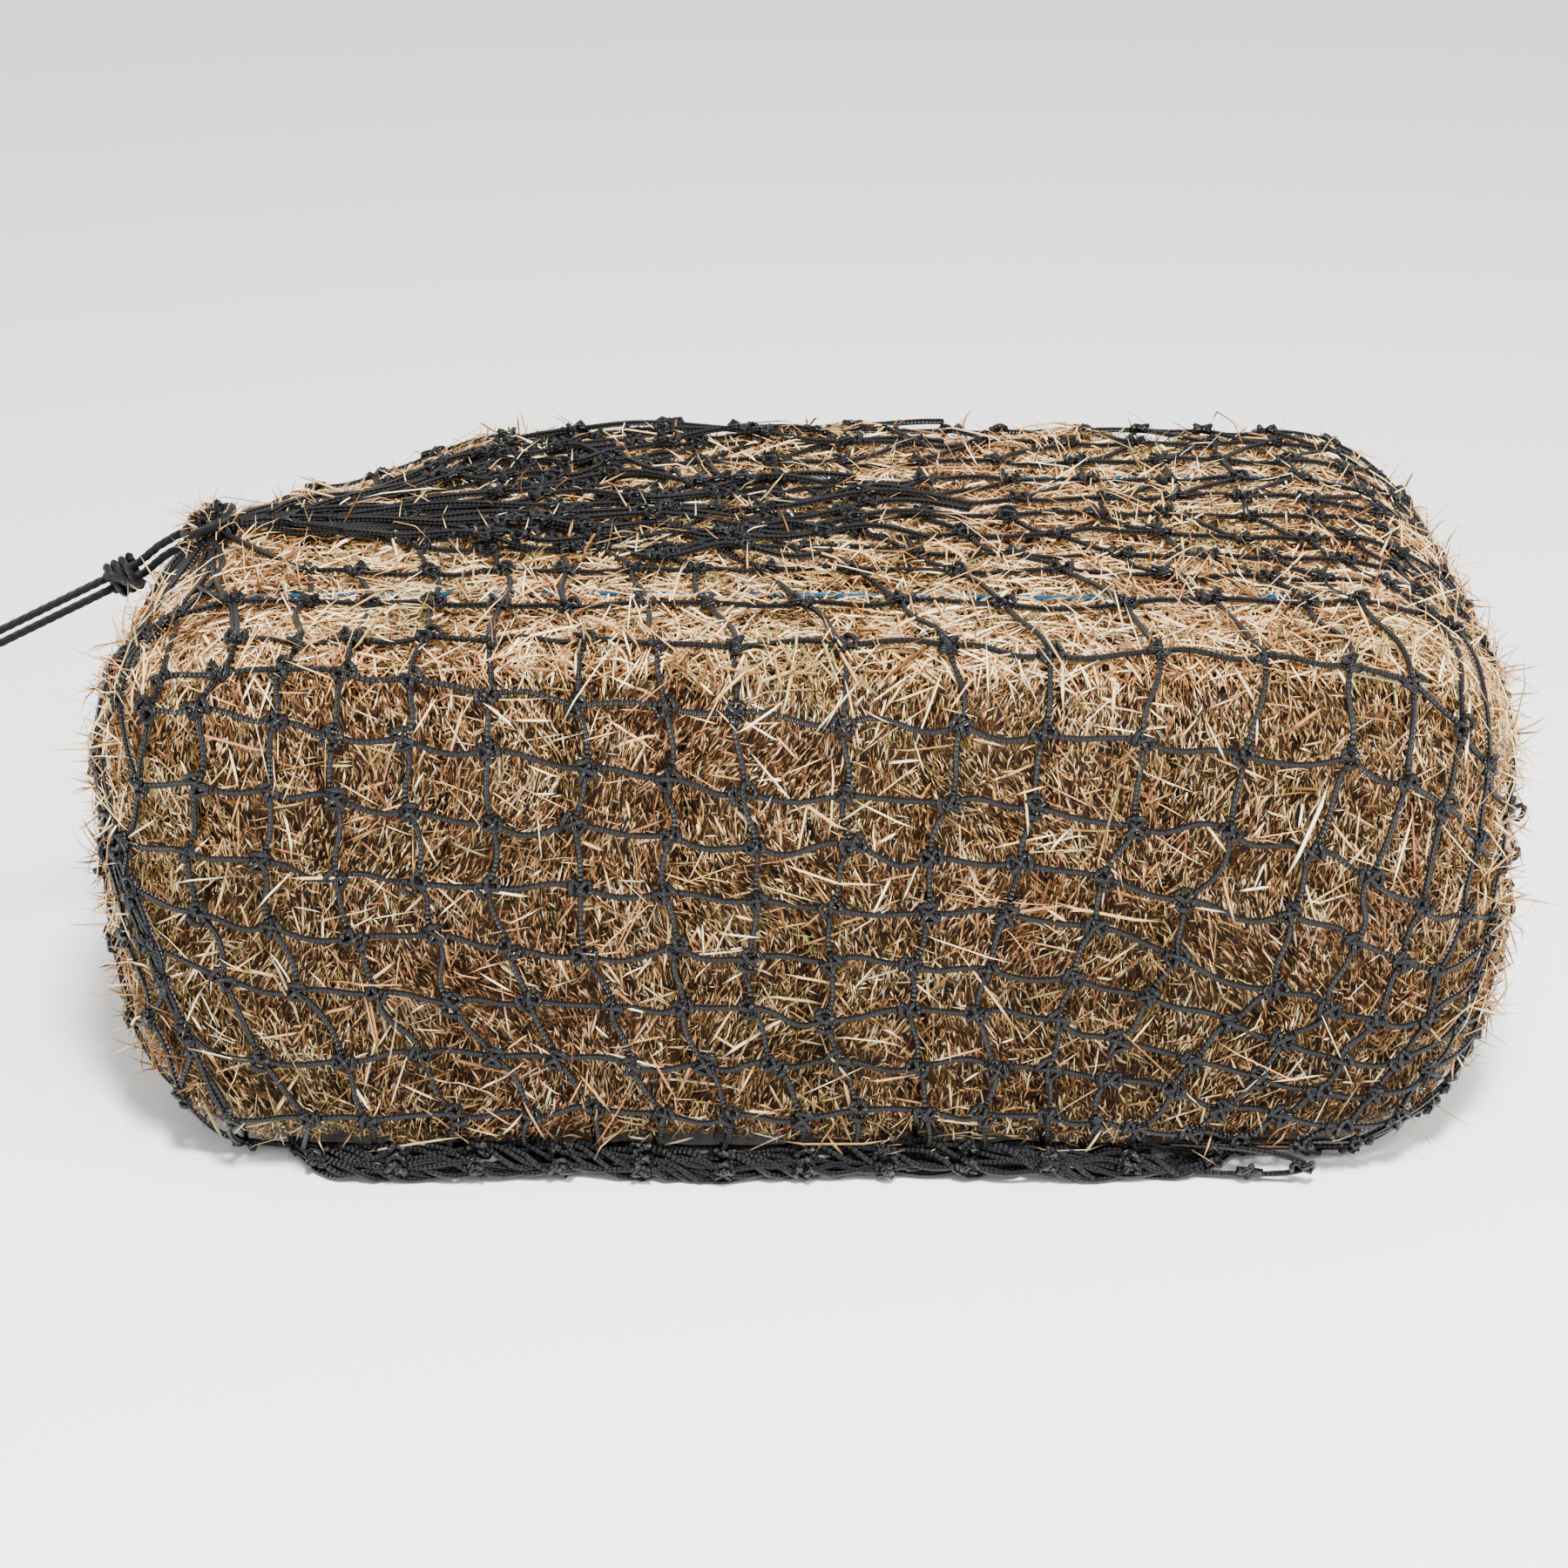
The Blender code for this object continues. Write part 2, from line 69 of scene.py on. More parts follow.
@dataclass(frozen=True)
class BaleForm:
    """The bale's outer form: a rounded box, its ends drawn in on a quarter circle."""

    length: float = 0.914
    width: float = 0.452
    height: float = 0.354
    edge: float = 0.045
    end: float = 0.110
    middle: float = 0.1884

    @property
    def straight(self) -> float:
        """Half the length over which the sides are straight."""
        return self.length / 2.0 - self.end

    @property
    def core(self) -> tuple[float, float]:
        """Half width and half height of the section, without its rounded edges."""
        return self.width / 2.0 - self.edge, self.height / 2.0 - self.edge

    def girth(self, lift: float) -> float:
        """Length round the section: four flats of the core and one full turn of the edge."""
        return 4.0 * sum(self.core) + 2.0 * math.pi * (self.edge + lift)

    def inset(self, x: np.ndarray, lift: np.ndarray | float) -> np.ndarray:
        """How far the sides have turned in at x.

        The side follows a circle of radius end + lift from the straight part's end, so the
        inset is that radius minus the root of its square less the square of the way past.

        Args:
            x: Places along the bale.
            lift: Distance outside the bale.

        Returns:
            The inset at each place.
        """
        radius = self.end + lift
        past = np.clip(np.abs(x) - self.straight, 0.0, radius)
        return radius - np.sqrt(np.maximum(radius * radius - past * past, 0.0))

    def depth(self, points: np.ndarray, lift: np.ndarray | float) -> np.ndarray:
        """Distance outside the lifted form, below zero inside it.

        In a cross section it is the distance to a rounded rectangle; along X it is the way
        past the flat end. The larger of the two counts.

        Args:
            points: Points (..., 3).
            lift: Distance of the form outside the bale.

        Returns:
            The distances, one for each point.
        """
        x, y, z = points[..., 0], points[..., 1], points[..., 2] - self.middle
        inset = self.inset(x, lift)
        past_y = np.abs(y) - (self.core[0] - inset)
        past_z = np.abs(z) - (self.core[1] - inset)
        outside = np.hypot(np.maximum(past_y, 0.0), np.maximum(past_z, 0.0))
        section = outside + np.minimum(np.maximum(past_y, past_z), 0.0) - (self.edge + lift)
        return np.maximum(section, np.abs(x) - (self.length / 2.0 + lift))

    def wrap(self, points: np.ndarray, lift: np.ndarray | float) -> np.ndarray:
        """Points moved on to the lifted form, straight away from the bale's spine.

        Each point is scaled from the nearest place of the spine, and the scale at which the
        depth is zero is found by halving an interval.

        Args:
            points: Points (..., 3).
            lift: Distance of the form outside the bale.

        Returns:
            The points on the form.
        """
        spine = np.zeros_like(points)
        spine[..., 0] = np.clip(points[..., 0], 0.04 - self.straight, self.straight - 0.04)
        spine[..., 2] = self.middle
        away = unit(points - spine)
        low, high = np.full(points.shape[:-1], 0.05), np.full(points.shape[:-1], 0.60)
        for _ in range(26):
            half = (low + high) / 2.0
            inside = self.depth(spine + away * half[..., None], lift) < 0.0
            low, high = np.where(inside, half, low), np.where(inside, high, half)
        return spine + away * low[..., None]

    def normal(self, points: np.ndarray, lift: np.ndarray | float = 0.0) -> np.ndarray:
        """Outward direction: the depth's slope, by central differences over 6 mm."""
        steps = np.eye(3) * 0.006
        slope = [self.depth(points + s, lift) - self.depth(points - s, lift) for s in steps]
        return unit(np.stack(slope, axis=-1))

    def on_girth(self, x: np.ndarray, g: np.ndarray, lift: float) -> np.ndarray:
        """Points at places x along the bale and g round it.

        g is a length from the middle of the front, upwards: a flat, a quarter turn, the top
        from front to back, a quarter turn, and so on. The flats then shrink by the inset.

        Args:
            x: Places along the bale.
            g: Lengths round the section.
            lift: Distance outside the bale.

        Returns:
            The points (..., 3).
        """
        x, g = np.broadcast_arrays(np.asarray(x, float), np.asarray(g, float))
        core_y, core_z = self.core
        radius = self.edge + lift
        turn = radius * math.pi / 2.0
        g = np.mod(g + core_z, self.girth(lift))
        flats = np.array([2 * core_z, 2 * core_y, 2 * core_z, 2 * core_y])
        ends = np.cumsum(flats + turn)
        side = np.searchsorted(ends, g, side="right").clip(0, 3)
        past = g - (ends - flats - turn)[side]
        flat = np.minimum(past, flats[side]) / flats[side]
        angle = np.maximum(past - flats[side], 0.0) / radius
        inset = self.inset(x, lift)
        corner_y = np.array([-1, -1, 1, 1])[side], np.array([-1, 1, 1, -1])[side]
        corner_z = np.array([-1, 1, 1, -1])[side], np.array([1, 1, -1, -1])[side]
        y = (corner_y[0] + (corner_y[1] - corner_y[0]) * flat) * (core_y - inset)
        z = (corner_z[0] + (corner_z[1] - corner_z[0]) * flat) * (core_z - inset)
        first = math.pi - side * (math.pi / 2.0)
        y = y + radius * np.cos(first - angle)
        z = z + radius * np.sin(first - angle)
        return np.stack([x, y, z + self.middle], axis=-1)


FORM = BaleForm()


def settled(points: np.ndarray) -> np.ndarray:
    """Lowers the bale's rear corner at the mouth, where the drawn net presses it most.

    The press grows from nothing to 42 mm towards the corner, by a smooth step along the bale
    times a smooth step across it, and works in full at the top and not at all at mid height.

    Args:
        points: Points (..., 3).

    Returns:
        The points, moved down.
    """
    x, y, z = points[..., 0], points[..., 1], points[..., 2]
    along = np.clip((-0.20 - x) / 0.17, 0.0, 1.0)
    across = np.clip((y - 0.01) / 0.17, 0.0, 1.0)
    height = np.clip((z - FORM.middle) / (FORM.height / 2.0), 0.0, 1.1)
    press = PRESS * along**2 * (3.0 - 2.0 * along) * across**2 * (3.0 - 2.0 * across) * height
    return points - np.stack([0.0 * press, 0.0 * press, press], axis=-1)


def mouth_frame() -> tuple[np.ndarray, np.ndarray, np.ndarray]:
    """The gather's place, its outward direction, and the direction beside it."""
    outward = np.array([-math.sin(MOUTH_LEAN), 0.0, math.cos(MOUTH_LEAN)])
    return np.array(MOUTH), outward, np.cross([0.0, 1.0, 0.0], outward)


def tube_faces(rings: int, sides: int) -> tuple[np.ndarray, np.ndarray]:
    """Faces of a tube closed by a point at each end, and where they lie on a flat sheet.

    Points are numbered ring by ring, then the two end points. On the sheet, the way along
    runs from 0.05 to 0.95 and the way round from 0 to 1. One ring alone lies at 0.5.

    Args:
        rings: Number of rings.
        sides: Points in a ring.

    Returns:
        Triangles (f, 3), and their corners on the sheet (f, 3, 2).
    """
    ring, side = (a.ravel() for a in np.meshgrid(np.arange(rings - 1), np.arange(sides), indexing="ij"))
    after = (side + 1) % sides
    a, b = ring * sides + side, ring * sides + after
    c, d = a + sides, b + sides
    low, high = (0.05 + 0.9 * r / max(rings - 1, 1) for r in (ring, ring + 1))
    left, right = side / sides, (side + 1) / sides
    faces = [np.stack([a, c, b], 1), np.stack([b, c, d], 1)]
    sheet = [
        np.stack([np.stack(p, 1) for p in ((low, left), (high, left), (low, right))], 1),
        np.stack([np.stack(p, 1) for p in ((low, right), (high, left), (high, right))], 1),
    ]
    k = np.arange(sides)
    after, left, right = (k + 1) % sides, k / sides, (k + 1) / sides
    near, far = (0.5, 0.5) if rings == 1 else (0.05, 0.95)
    low, high = np.full(sides, near), np.full(sides, far)
    last = (rings - 1) * sides
    faces.append(np.stack([k, after, np.full(sides, rings * sides)], 1))
    faces.append(np.stack([last + after, last + k, np.full(sides, rings * sides + 1)], 1))
    middle = (left + right) / 2.0
    sheet.append(np.stack([np.stack(p, 1) for p in ((low, left), (low, right), (low * 0, middle))], 1))
    sheet.append(np.stack([np.stack(p, 1) for p in ((high, right), (high, left), (high / high, middle))], 1))
    return np.concatenate(faces), np.concatenate(sheet)


def sweep(paths: np.ndarray, normals: np.ndarray, radii: np.ndarray, sides: int) -> np.ndarray:
    """Points of tubes round many paths.

    A ring's points are the path's point plus the radius times the cosine of a turn along
    the upright, and its sine along the side; the side is square to the path and the normal.

    Args:
        paths: Paths (n, m, 3).
        normals: A direction that is up at each point of each path, (n, m, 3).
        radii: Radius, broadcast to (n, m, sides).
        sides: Points in a ring.

    Returns:
        Points (n, m * sides + 2, 3).
    """
    along = unit(np.gradient(paths, axis=1))
    side = unit(np.cross(along, normals))
    upright = np.cross(side, along)
    turn = 2.0 * math.pi * np.arange(sides) / sides
    ring = np.cos(turn)[:, None] * upright[:, :, None] + np.sin(turn)[:, None] * side[:, :, None]
    radii = np.broadcast_to(radii, (*paths.shape[:2], sides))
    points = paths[:, :, None] + ring * radii[..., None]
    ends = paths[:, [0, -1]] + along[:, [0, -1]] * radii[:, [0, -1], :1] * np.array([[-0.6], [0.6]])
    return np.concatenate([points.reshape(len(paths), -1, 3), ends], axis=1)


@dataclass
class Piece:
    """One finished mesh piece, gathered from groups of small closed shapes."""

    name: str
    points: list = field(default_factory=list)
    faces: list = field(default_factory=list)
    sheets: list = field(default_factory=list)
    lays: list = field(default_factory=list)
    tones: list = field(default_factory=list)
    shares: list = field(default_factory=list)
    count: int = 0

    def add(
        self,
        points: np.ndarray,
        faces: np.ndarray,
        sheet: np.ndarray,
        lay: np.ndarray | None = None,
        tone: np.ndarray | float = 0.5,
        share: float = 1.0,
    ) -> None:
        """Adds n copies of a shape.

        Args:
            points: Points (n, v, 3).
            faces: Triangles of one copy (f, 3), or of each copy (n, f, 3).
            sheet: Each triangle's corners on the copy's own flat sheet, (f, 3, 2).
            lay: Corners along and round the twine, broadcast to (n, f, 3, 2).
            tone: Shade, kind and light of each copy's points, broadcast to (n, v, 3).
            share: Share of the piece's sheet for this group.
        """
        copies, vertices = points.shape[:2]
        points = np.maximum(settled(points), [-np.inf, -np.inf, FLOOR])
        if copies == 0:
            return
        faces = faces + (np.arange(copies) * vertices)[:, None, None] + self.count
        self.points.append(points.reshape(-1, 3))
        self.faces.append(faces.reshape(-1, 3))
        self.sheets.append(np.broadcast_to(sheet, (*faces.shape, 2)))
        lay = sheet if lay is None else lay
        self.lays.append(np.broadcast_to(lay, (*faces.shape, 2)).reshape(-1, 2))
        self.tones.append(np.broadcast_to(tone, points.shape).reshape(-1, 3))
        self.shares.append(share)
        self.count += copies * vertices

    def atlas(self) -> np.ndarray:
        """Every corner's place on the piece's sheet.

        The groups take bands of the unit square by their shares, and each copy a cell of
        its band, in rows of nearly square cells with a little room round each.

        Returns:
            Places (corners, 2).
        """
        placed, floor = [], 0.0
        for sheet, share in zip(self.sheets, self.shares):
            band = share / sum(self.shares)
            across = max(1, math.ceil(math.sqrt(len(sheet) / band)))
            cell = np.array([1.0 / across, band / math.ceil(len(sheet) / across)])
            index = np.arange(len(sheet))
            corner = np.stack([index % across, index // across], axis=1) * cell
            corner[:, 1] += floor
            place = corner[:, None, None] + (CELL_ROOM + (1.0 - 2.0 * CELL_ROOM) * sheet) * cell
            placed.append(place.reshape(-1, 2))
            floor += band
        return np.concatenate(placed)

    def build(self, material: bpy.types.Material) -> bpy.types.Object:
        """Makes the mesh object, with its sheets and tones.

        Args:
            material: The piece's finish.

        Returns:
            The object, linked to the scene.
        """
        points, faces = np.concatenate(self.points), np.concatenate(self.faces)
        mesh = bpy.data.meshes.new(self.name)
        mesh.vertices.add(len(points))
        mesh.vertices.foreach_set("co", points.astype(np.float32).ravel())
        mesh.loops.add(faces.size)
        mesh.loops.foreach_set("vertex_index", faces.astype(np.int32).ravel())
        mesh.polygons.add(len(faces))
        mesh.polygons.foreach_set("loop_start", np.arange(0, faces.size, 3, dtype=np.int32))
        mesh.polygons.foreach_set("use_smooth", np.full(len(faces), True))
        mesh.update(calc_edges=True)
        for name, values in ((ATLAS_MAP, self.atlas()), (LAY_MAP, np.concatenate(self.lays))):
            layer = mesh.uv_layers.new(name=name)
            layer.uv.foreach_set("vector", values.astype(np.float32).ravel())
        tone = mesh.attributes.new(TONE, "FLOAT_VECTOR", "POINT")
        tone.data.foreach_set("vector", np.concatenate(self.tones).astype(np.float32).ravel())
        mesh.materials.append(material)
        made = bpy.data.objects.new(self.name, mesh)
        bpy.context.scene.collection.objects.link(made)
        log.info("%s: %d triangles", self.name, len(faces))
        return made


def fit(obj: bpy.types.Object, body: str, node: str) -> bpy.types.Object:
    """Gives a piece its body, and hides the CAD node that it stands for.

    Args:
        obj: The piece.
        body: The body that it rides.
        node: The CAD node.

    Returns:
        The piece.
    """
    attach(obj, body)
    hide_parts(node)
    return obj


class Graph:
    """A material's node tree, with short ways to add nodes and join them."""

    def __init__(self, name: str) -> None:
        """Starts a material that holds one surface shader."""
        self.material = bpy.data.materials.new(name)
        self.material.use_nodes = True
        self.tree = self.material.node_tree
        self.shader = self.tree.nodes["Principled BSDF"]

    def node(self, kind: str, inputs: dict | None = None, **settings) -> bpy.types.Node:
        """Adds a node.

        Args:
            kind: The node's type.
            inputs: For each input by name or number, a value, or an output to link to it.
            settings: Properties of the node.

        Returns:
            The node.
        """
        made = self.tree.nodes.new(kind)
        for name, value in settings.items():
            setattr(made, name, value)
        for name, value in (inputs or {}).items():
            self.put(made.inputs[name], value)
        return made

    def put(self, socket: bpy.types.NodeSocket, value) -> None:
        """Links an output to a socket, or sets the socket's own value."""
        if isinstance(value, bpy.types.NodeSocket):
            self.tree.links.new(value, socket)
        else:
            socket.default_value = value

    def math(self, operation: str, *values) -> bpy.types.NodeSocket:
        """The result of one sum on numbers or outputs."""
        return self.node("ShaderNodeMath", dict(enumerate(values)), operation=operation).outputs[0]

    def mix(self, factor, first, second, blend: str = "MIX") -> bpy.types.NodeSocket:
        """Two colours blended by a factor."""
        inputs = {0: factor, 6: first, 7: second}
        return self.node("ShaderNodeMix", inputs, data_type="RGBA", blend_type=blend).outputs[2]

    def ramp(self, factor, stops: tuple) -> bpy.types.NodeSocket:
        """Colours along a ramp.

        Args:
            factor: Where on the ramp.
            stops: Pairs of a place from 0 to 1 and a colour.

        Returns:
            The colour output.
        """
        made = self.node("ShaderNodeValToRGB", {0: factor})
        elements = made.color_ramp.elements
        while len(elements) < len(stops):
            elements.new(0.5)
        for element, (place, colour) in zip(elements, stops):
            element.position, element.color = place, (*colour, 1.0)
        return made.outputs[0]

    def bump(self, height, distance: float) -> None:
        """Gives the shader a relief of this height."""
        inputs = {"Height": height, "Distance": distance, "Strength": 1.0}
        self.put(self.shader.inputs["Normal"], self.node("ShaderNodeBump", inputs).outputs[0])

    def finish(self, colour, roughness, specular: float) -> bpy.types.Material:
        """Sets the shader's colour, roughness and shine.

        Args:
            colour: Base colour, a value or an output.
            roughness: Roughness, a value or an output.
            specular: Strength of the mirror-like part.

        Returns:
            The material.
        """
        self.put(self.shader.inputs["Base Color"], colour)
        self.put(self.shader.inputs["Roughness"], roughness)
        self.put(self.shader.inputs["Specular IOR Level"], specular)
        return self.material


@dataclass(frozen=True)
class HayFinish:
    """Dry hay: each blade's shade runs from dark stem to bleached straw, a few green or red."""

    stops: tuple = (
        (0.00, (0.030, 0.010, 0.002)),
        (0.24, (0.125, 0.048, 0.011)),
        (0.50, (0.400, 0.190, 0.057)),
        (0.76, (0.790, 0.500, 0.205)),
        (1.00, (0.980, 0.830, 0.530)),
    )
    green: tuple = (0.190, 0.200, 0.065, 1.0)
    red: tuple = (0.400, 0.150, 0.080, 1.0)
    roughness: float = 0.72

    def material(self) -> bpy.types.Material:
        """The blade's shade on the ramp, tinted by its kind and darkened by its light.

        Returns:
            The material.
        """
        graph = Graph("hay")
        tone = graph.node("ShaderNodeAttribute", attribute_name=TONE).outputs["Vector"]
        parts = graph.node("ShaderNodeSeparateXYZ", {0: tone}).outputs
        place = graph.node("ShaderNodeTexCoord").outputs["Object"]
        grain = graph.node("ShaderNodeTexNoise", {"Vector": place, "Scale": 420.0, "Detail": 2.0})
        wander = graph.math("MULTIPLY_ADD", grain.outputs[0], 0.34, -0.17)
        shade = graph.ramp(graph.math("ADD", parts[0], wander), self.stops)
        greening = graph.math("MULTIPLY", graph.math("GREATER_THAN", parts[1], 0.90), 0.60)
        reddening = graph.math("MULTIPLY", graph.math("LESS_THAN", parts[1], 0.10), 0.55)
        colour = graph.mix(greening, shade, self.green)
        colour = graph.mix(reddening, colour, self.red)
        # The light part of the tone is painted light: painted shade on blades that lie deep or near the
        # floor, painted highlight on the outermost.
        light = graph.node("ShaderNodeCombineXYZ", {0: parts[2], 1: parts[2], 2: parts[2]})
        colour = graph.mix(1.0, colour, light.outputs[0], "MULTIPLY")
        return graph.finish(colour, self.roughness, 0.25)


@dataclass(frozen=True)
class TwineFinish:
    """Black braided twine: two families of diagonal strands that cross round the twine."""

    colour: tuple = (0.0025, 0.0025, 0.0032, 1.0)
    # painted highlight: the paler colour given to the braid's high ridges
    painted_highlight: tuple = (0.030, 0.030, 0.036, 1.0)
    roughness: float = 0.34
    relief: float = 0.0010
    lay: float = 0.0060

    def material(self) -> bpy.types.Material:
        """Braid height: the sine of along plus round, times the sine of along minus round.

        Returns:
            The material.
        """
        graph = Graph("net_twine")
        lay = graph.node("ShaderNodeUVMap", uv_map=LAY_MAP).outputs[0]
        parts = graph.node("ShaderNodeSeparateXYZ", {0: lay}).outputs
        turn = graph.math("MULTIPLY", parts[1], 4.0 * math.pi)
        way = graph.math("MULTIPLY", parts[0], 2.0 * math.pi / self.lay)
        one = graph.math("SINE", graph.math("ADD", way, turn))
        other = graph.math("SINE", graph.math("SUBTRACT", way, turn))
        braid = graph.math("MULTIPLY", one, other)
        graph.bump(braid, self.relief)
        place = graph.node("ShaderNodeTexCoord").outputs["Object"]
        # Painted highlight: patches of the braid's high ridges get a paler colour, as a shine would light
        # them.
        gleam_patches = graph.node("ShaderNodeTexNoise", {"Vector": place, "Scale": 240.0, "Detail": 2.0})
        high = graph.math("POWER", graph.math("MAXIMUM", braid, 0.0), 1.6)
        painted_gleam = graph.math("MULTIPLY", high, gleam_patches.outputs[0])
        colour = graph.mix(painted_gleam, self.colour, self.painted_highlight)
        return graph.finish(colour, self.roughness, 0.35)


@dataclass(frozen=True)
class CordFinish:
    """Black laid cord: fine fibres that run along its strands."""

    name: str = "drawcord"
    colour: tuple = (0.004, 0.004, 0.005, 1.0)
    # painted highlight: the paler colour given to the fibres' ridges
    painted_gleam: tuple = (0.020, 0.020, 0.022, 1.0)
    roughness: float = 0.44

    def material(self) -> bpy.types.Material:
        """Fibre height: the sine of sixteen turns round, leaned by the way along.

        Returns:
            The material.
        """
        graph = Graph(self.name)
        lay = graph.node("ShaderNodeUVMap", uv_map=LAY_MAP).outputs[0]
        parts = graph.node("ShaderNodeSeparateXYZ", {0: lay}).outputs
        turn = graph.math("MULTIPLY", parts[1], 32.0 * math.pi)
        way = graph.math("MULTIPLY", parts[0], 2.0 * math.pi / 0.0015)
        fibre = graph.math("SINE", graph.math("ADD", way, turn))
        graph.bump(fibre, 0.00025)
        # Painted highlight: the fibres' ridges get a share of the paler colour, as a shine would light them.
        painted_highlight = graph.math("MULTIPLY_ADD", fibre, 0.25, 0.15)
        colour = graph.mix(painted_highlight, self.colour, self.painted_gleam)
        return graph.finish(colour, self.roughness, 0.3)


@dataclass(frozen=True)
class FloorFinish:
    """Plain pale studio floor."""

    colour: tuple = (0.97, 0.97, 0.97, 1.0)

    def material(self) -> bpy.types.Material:
        """A plain matt white."""
        return Graph("studio_floor").finish(self.colour, 0.9, 0.1)


class Zone(Enum):
    """The parts of the net, each named as the CAD node that it stands for."""

    FRONT = "net_front"
    BOTTOM = "net_bottom"
    BACK = "net_back"
    TOP = "net_top"
    MOUTH = "net_mouth_end"
    BASE = "net_base_end"


@dataclass(frozen=True)
class Growth:
    """One kind of blade: how many grow where, and how they lie."""

    count: int
    faces: tuple[float, ...]  # amount beside one another on front, top, back, bottom and ends
    length: tuple[float, float, float]  # mean, least and greatest
    width: tuple[float, float, float]  # mean, least and greatest
    lift: tuple[float, float]  # of the blade's middle, over the bale
    tilt: float  # spread of the angle out of the surface
    aligned: float  # share that follows the flakes' upright lay
    shade: float  # added to the blade's shade
    rings: int  # between the blade's two tips


@dataclass
class Hay:
    """The pressed bale: a rough dark core for each flake, covered with blades of hay."""

    finish: HayFinish = HayFinish()
    flakes: int = 12
    seed: int = 11
    growths: tuple[Growth, ...] = (
        Growth(142000, (1.3, 0.30, 0.70, 0.10, 0.38), (0.0088, 0.004, 0.022), (0.00120, 0.0006, 0.0024),
               (-0.0080, 0.0030), 0.50, 0.78, 0.02, 1),
        Growth(38000, (0.07, 1.0, 0.05, 0.0, 0.08), (0.0235, 0.009, 0.055), (0.00150, 0.0008, 0.0030),
               (-0.0060, 0.0055), 0.16, 0.15, 0.14, 2),
        Growth(2600, (0.34, 1.5, 0.30, 0.0, 0.5), (0.0320, 0.014, 0.075), (0.00145, 0.0008, 0.0030),
               (0.0020, 0.0095), 0.12, 0.10, 0.24, 2),
        Growth(6600, (0.40, 0.8, 0.6, 0.0, 2.9), (0.0400, 0.016, 0.090), (0.00120, 0.0006, 0.0024),
               (0.0020, 0.0120), 0.62, 0.0, 0.12, 2),
    )
    reach: tuple[float, ...] = (-0.520, 0.505, 0.2485, 0.0008, 0.402)  # X, X, Y, Z and Z
    clear: float = 0.024  # left free round the draw knot's run
    tuft_blades: int = 110

    def noise(self, points: np.ndarray, scale: float, seed: int) -> np.ndarray:
        """Soft noise from about minus 1 to 1: a mean of waves in seeded directions.

        Args:
            points: Points (..., 3).
            scale: Waves in a metre.
            seed: Seed of the directions.

        Returns:
            One value for each point.
        """
        rng = np.random.default_rng(seed)
        total = np.zeros(points.shape[:-1])
        for _ in range(7):
            wave = unit(rng.normal(size=3)) * scale * rng.uniform(0.6, 1.6)
            total += np.sin(points @ wave * 2.0 * math.pi + rng.uniform(0.0, 6.3))
        return total / 3.2

    def relief(self, points: np.ndarray) -> np.ndarray:
        """How far the hay stands out: broad swells, small tufts and a furrow between flakes.

        Args:
            points: Points (..., 3).

        Returns:
            One distance for each point.
        """
        pitch = FORM.length / self.flakes
        past = np.abs(np.mod(points[..., 0] + FORM.length / 2.0, pitch) / pitch - 0.5) * 2.0
        furrow = -0.0045 * past**6
        return 0.0038 * self.noise(points, 9.0, 3) + 0.0024 * self.noise(points, 30.0, 5) + furrow

    def core(self, piece: Piece, low: float, high: float) -> None:
        """A flake's core: rings round the bale, closed to a point inside at both faces.

        Args:
            piece: The flake's piece.
            low: Its lower X.
            high: Its higher X.
        """
        sides = 132
        places = np.linspace(low, high, 8)
        g = FORM.girth(0.0) * np.arange(sides) / sides
        rings = FORM.on_girth(places[:, None], g[None, :], 0.0)
        sink = self.relief(rings) - 0.0085
        rings = rings + FORM.normal(rings) * sink[..., None]
        rings[..., 0] = np.clip(rings[..., 0], low, high)
        shrink = np.array([0.96, 0.8, 0.55, 0.25])
        towards = (rings - [0.0, 0.0, FORM.middle]) * [0.0, 1.0, 1.0]
        first = rings[:1] - towards[:1] * (1.0 - shrink[::-1, None, None])
        last = rings[-1:] - towards[-1:] * (1.0 - shrink[:, None, None])
        rings = np.concatenate([first, rings, last])
        ends = rings[[0, -1]].mean(axis=1)
        faces, sheet = tube_faces(len(rings), sides)
        points = np.concatenate([rings.reshape(-1, 3), ends])[None]
        rng = np.random.default_rng(int((low + 1.0) * 1000.0))
        # Painted shade: the core's light is kept low, so that it stands dark for the shade deep among the
        # blades.
        tone = rng.uniform([0.02, 0.2, 0.10], [0.40, 0.8, 0.30], (len(points[0]), 3))
        piece.add(points, faces[:, ::-1], sheet[:, ::-1], tone=tone[None], share=0.35)

    def seeds(self, rng: np.random.Generator, growth: Growth) -> np.ndarray:
        """Places for blades on the bale.

        Each face of the box gets its share by area and amount. The places are wrapped on
        to the bale.

        Args:
            rng: Random numbers.
            growth: The kind of blade.

        Returns:
            Points (n, 3) on the bale.
        """
        n = int(growth.count * DETAIL)
        half = np.array([FORM.length, FORM.width, FORM.height]) / 2.0
        areas = half[[0, 0, 0, 0, 1, 1]] * half[[2, 1, 2, 1, 2, 2]]
        amount = areas * np.array([*growth.faces, growth.faces[-1]])
        face = rng.choice(6, n, p=amount / amount.sum())
        place = rng.uniform(-1.0, 1.0, (n, 3)) * half
        axis = np.array([1, 2, 1, 2, 0, 0])[face]
        place[np.arange(n), axis] = (np.array([-1, 1, 1, -1, -1, 1])[face] * half[axis])
        return FORM.wrap(place + [0.0, 0.0, FORM.middle], 0.0)

    def kept(self, points: np.ndarray) -> np.ndarray:
        """Which blades stay: those inside the reach, and 24 mm clear of the draw knot's run.

        Args:
            points: Points (n, v, 3).

        Returns:
            True for each blade that stays.
        """
        start = DrawCord.knot_place() - DrawCord.direction() * 0.03
        way = DrawCord.direction() * 0.25
        part = np.clip((points - start) @ way / (way @ way), 0.0, 1.0)
        away = np.linalg.norm(points - start - part[..., None] * way, axis=-1)
        x, y, z = points[..., 0], points[..., 1], points[..., 2]
        inside = (x > self.reach[0]) & (x < self.reach[1]) & (np.abs(y) < self.reach[2])
        return (inside & (z > self.reach[3]) & (z < self.reach[4]) & (away > self.clear)).all(axis=-1)

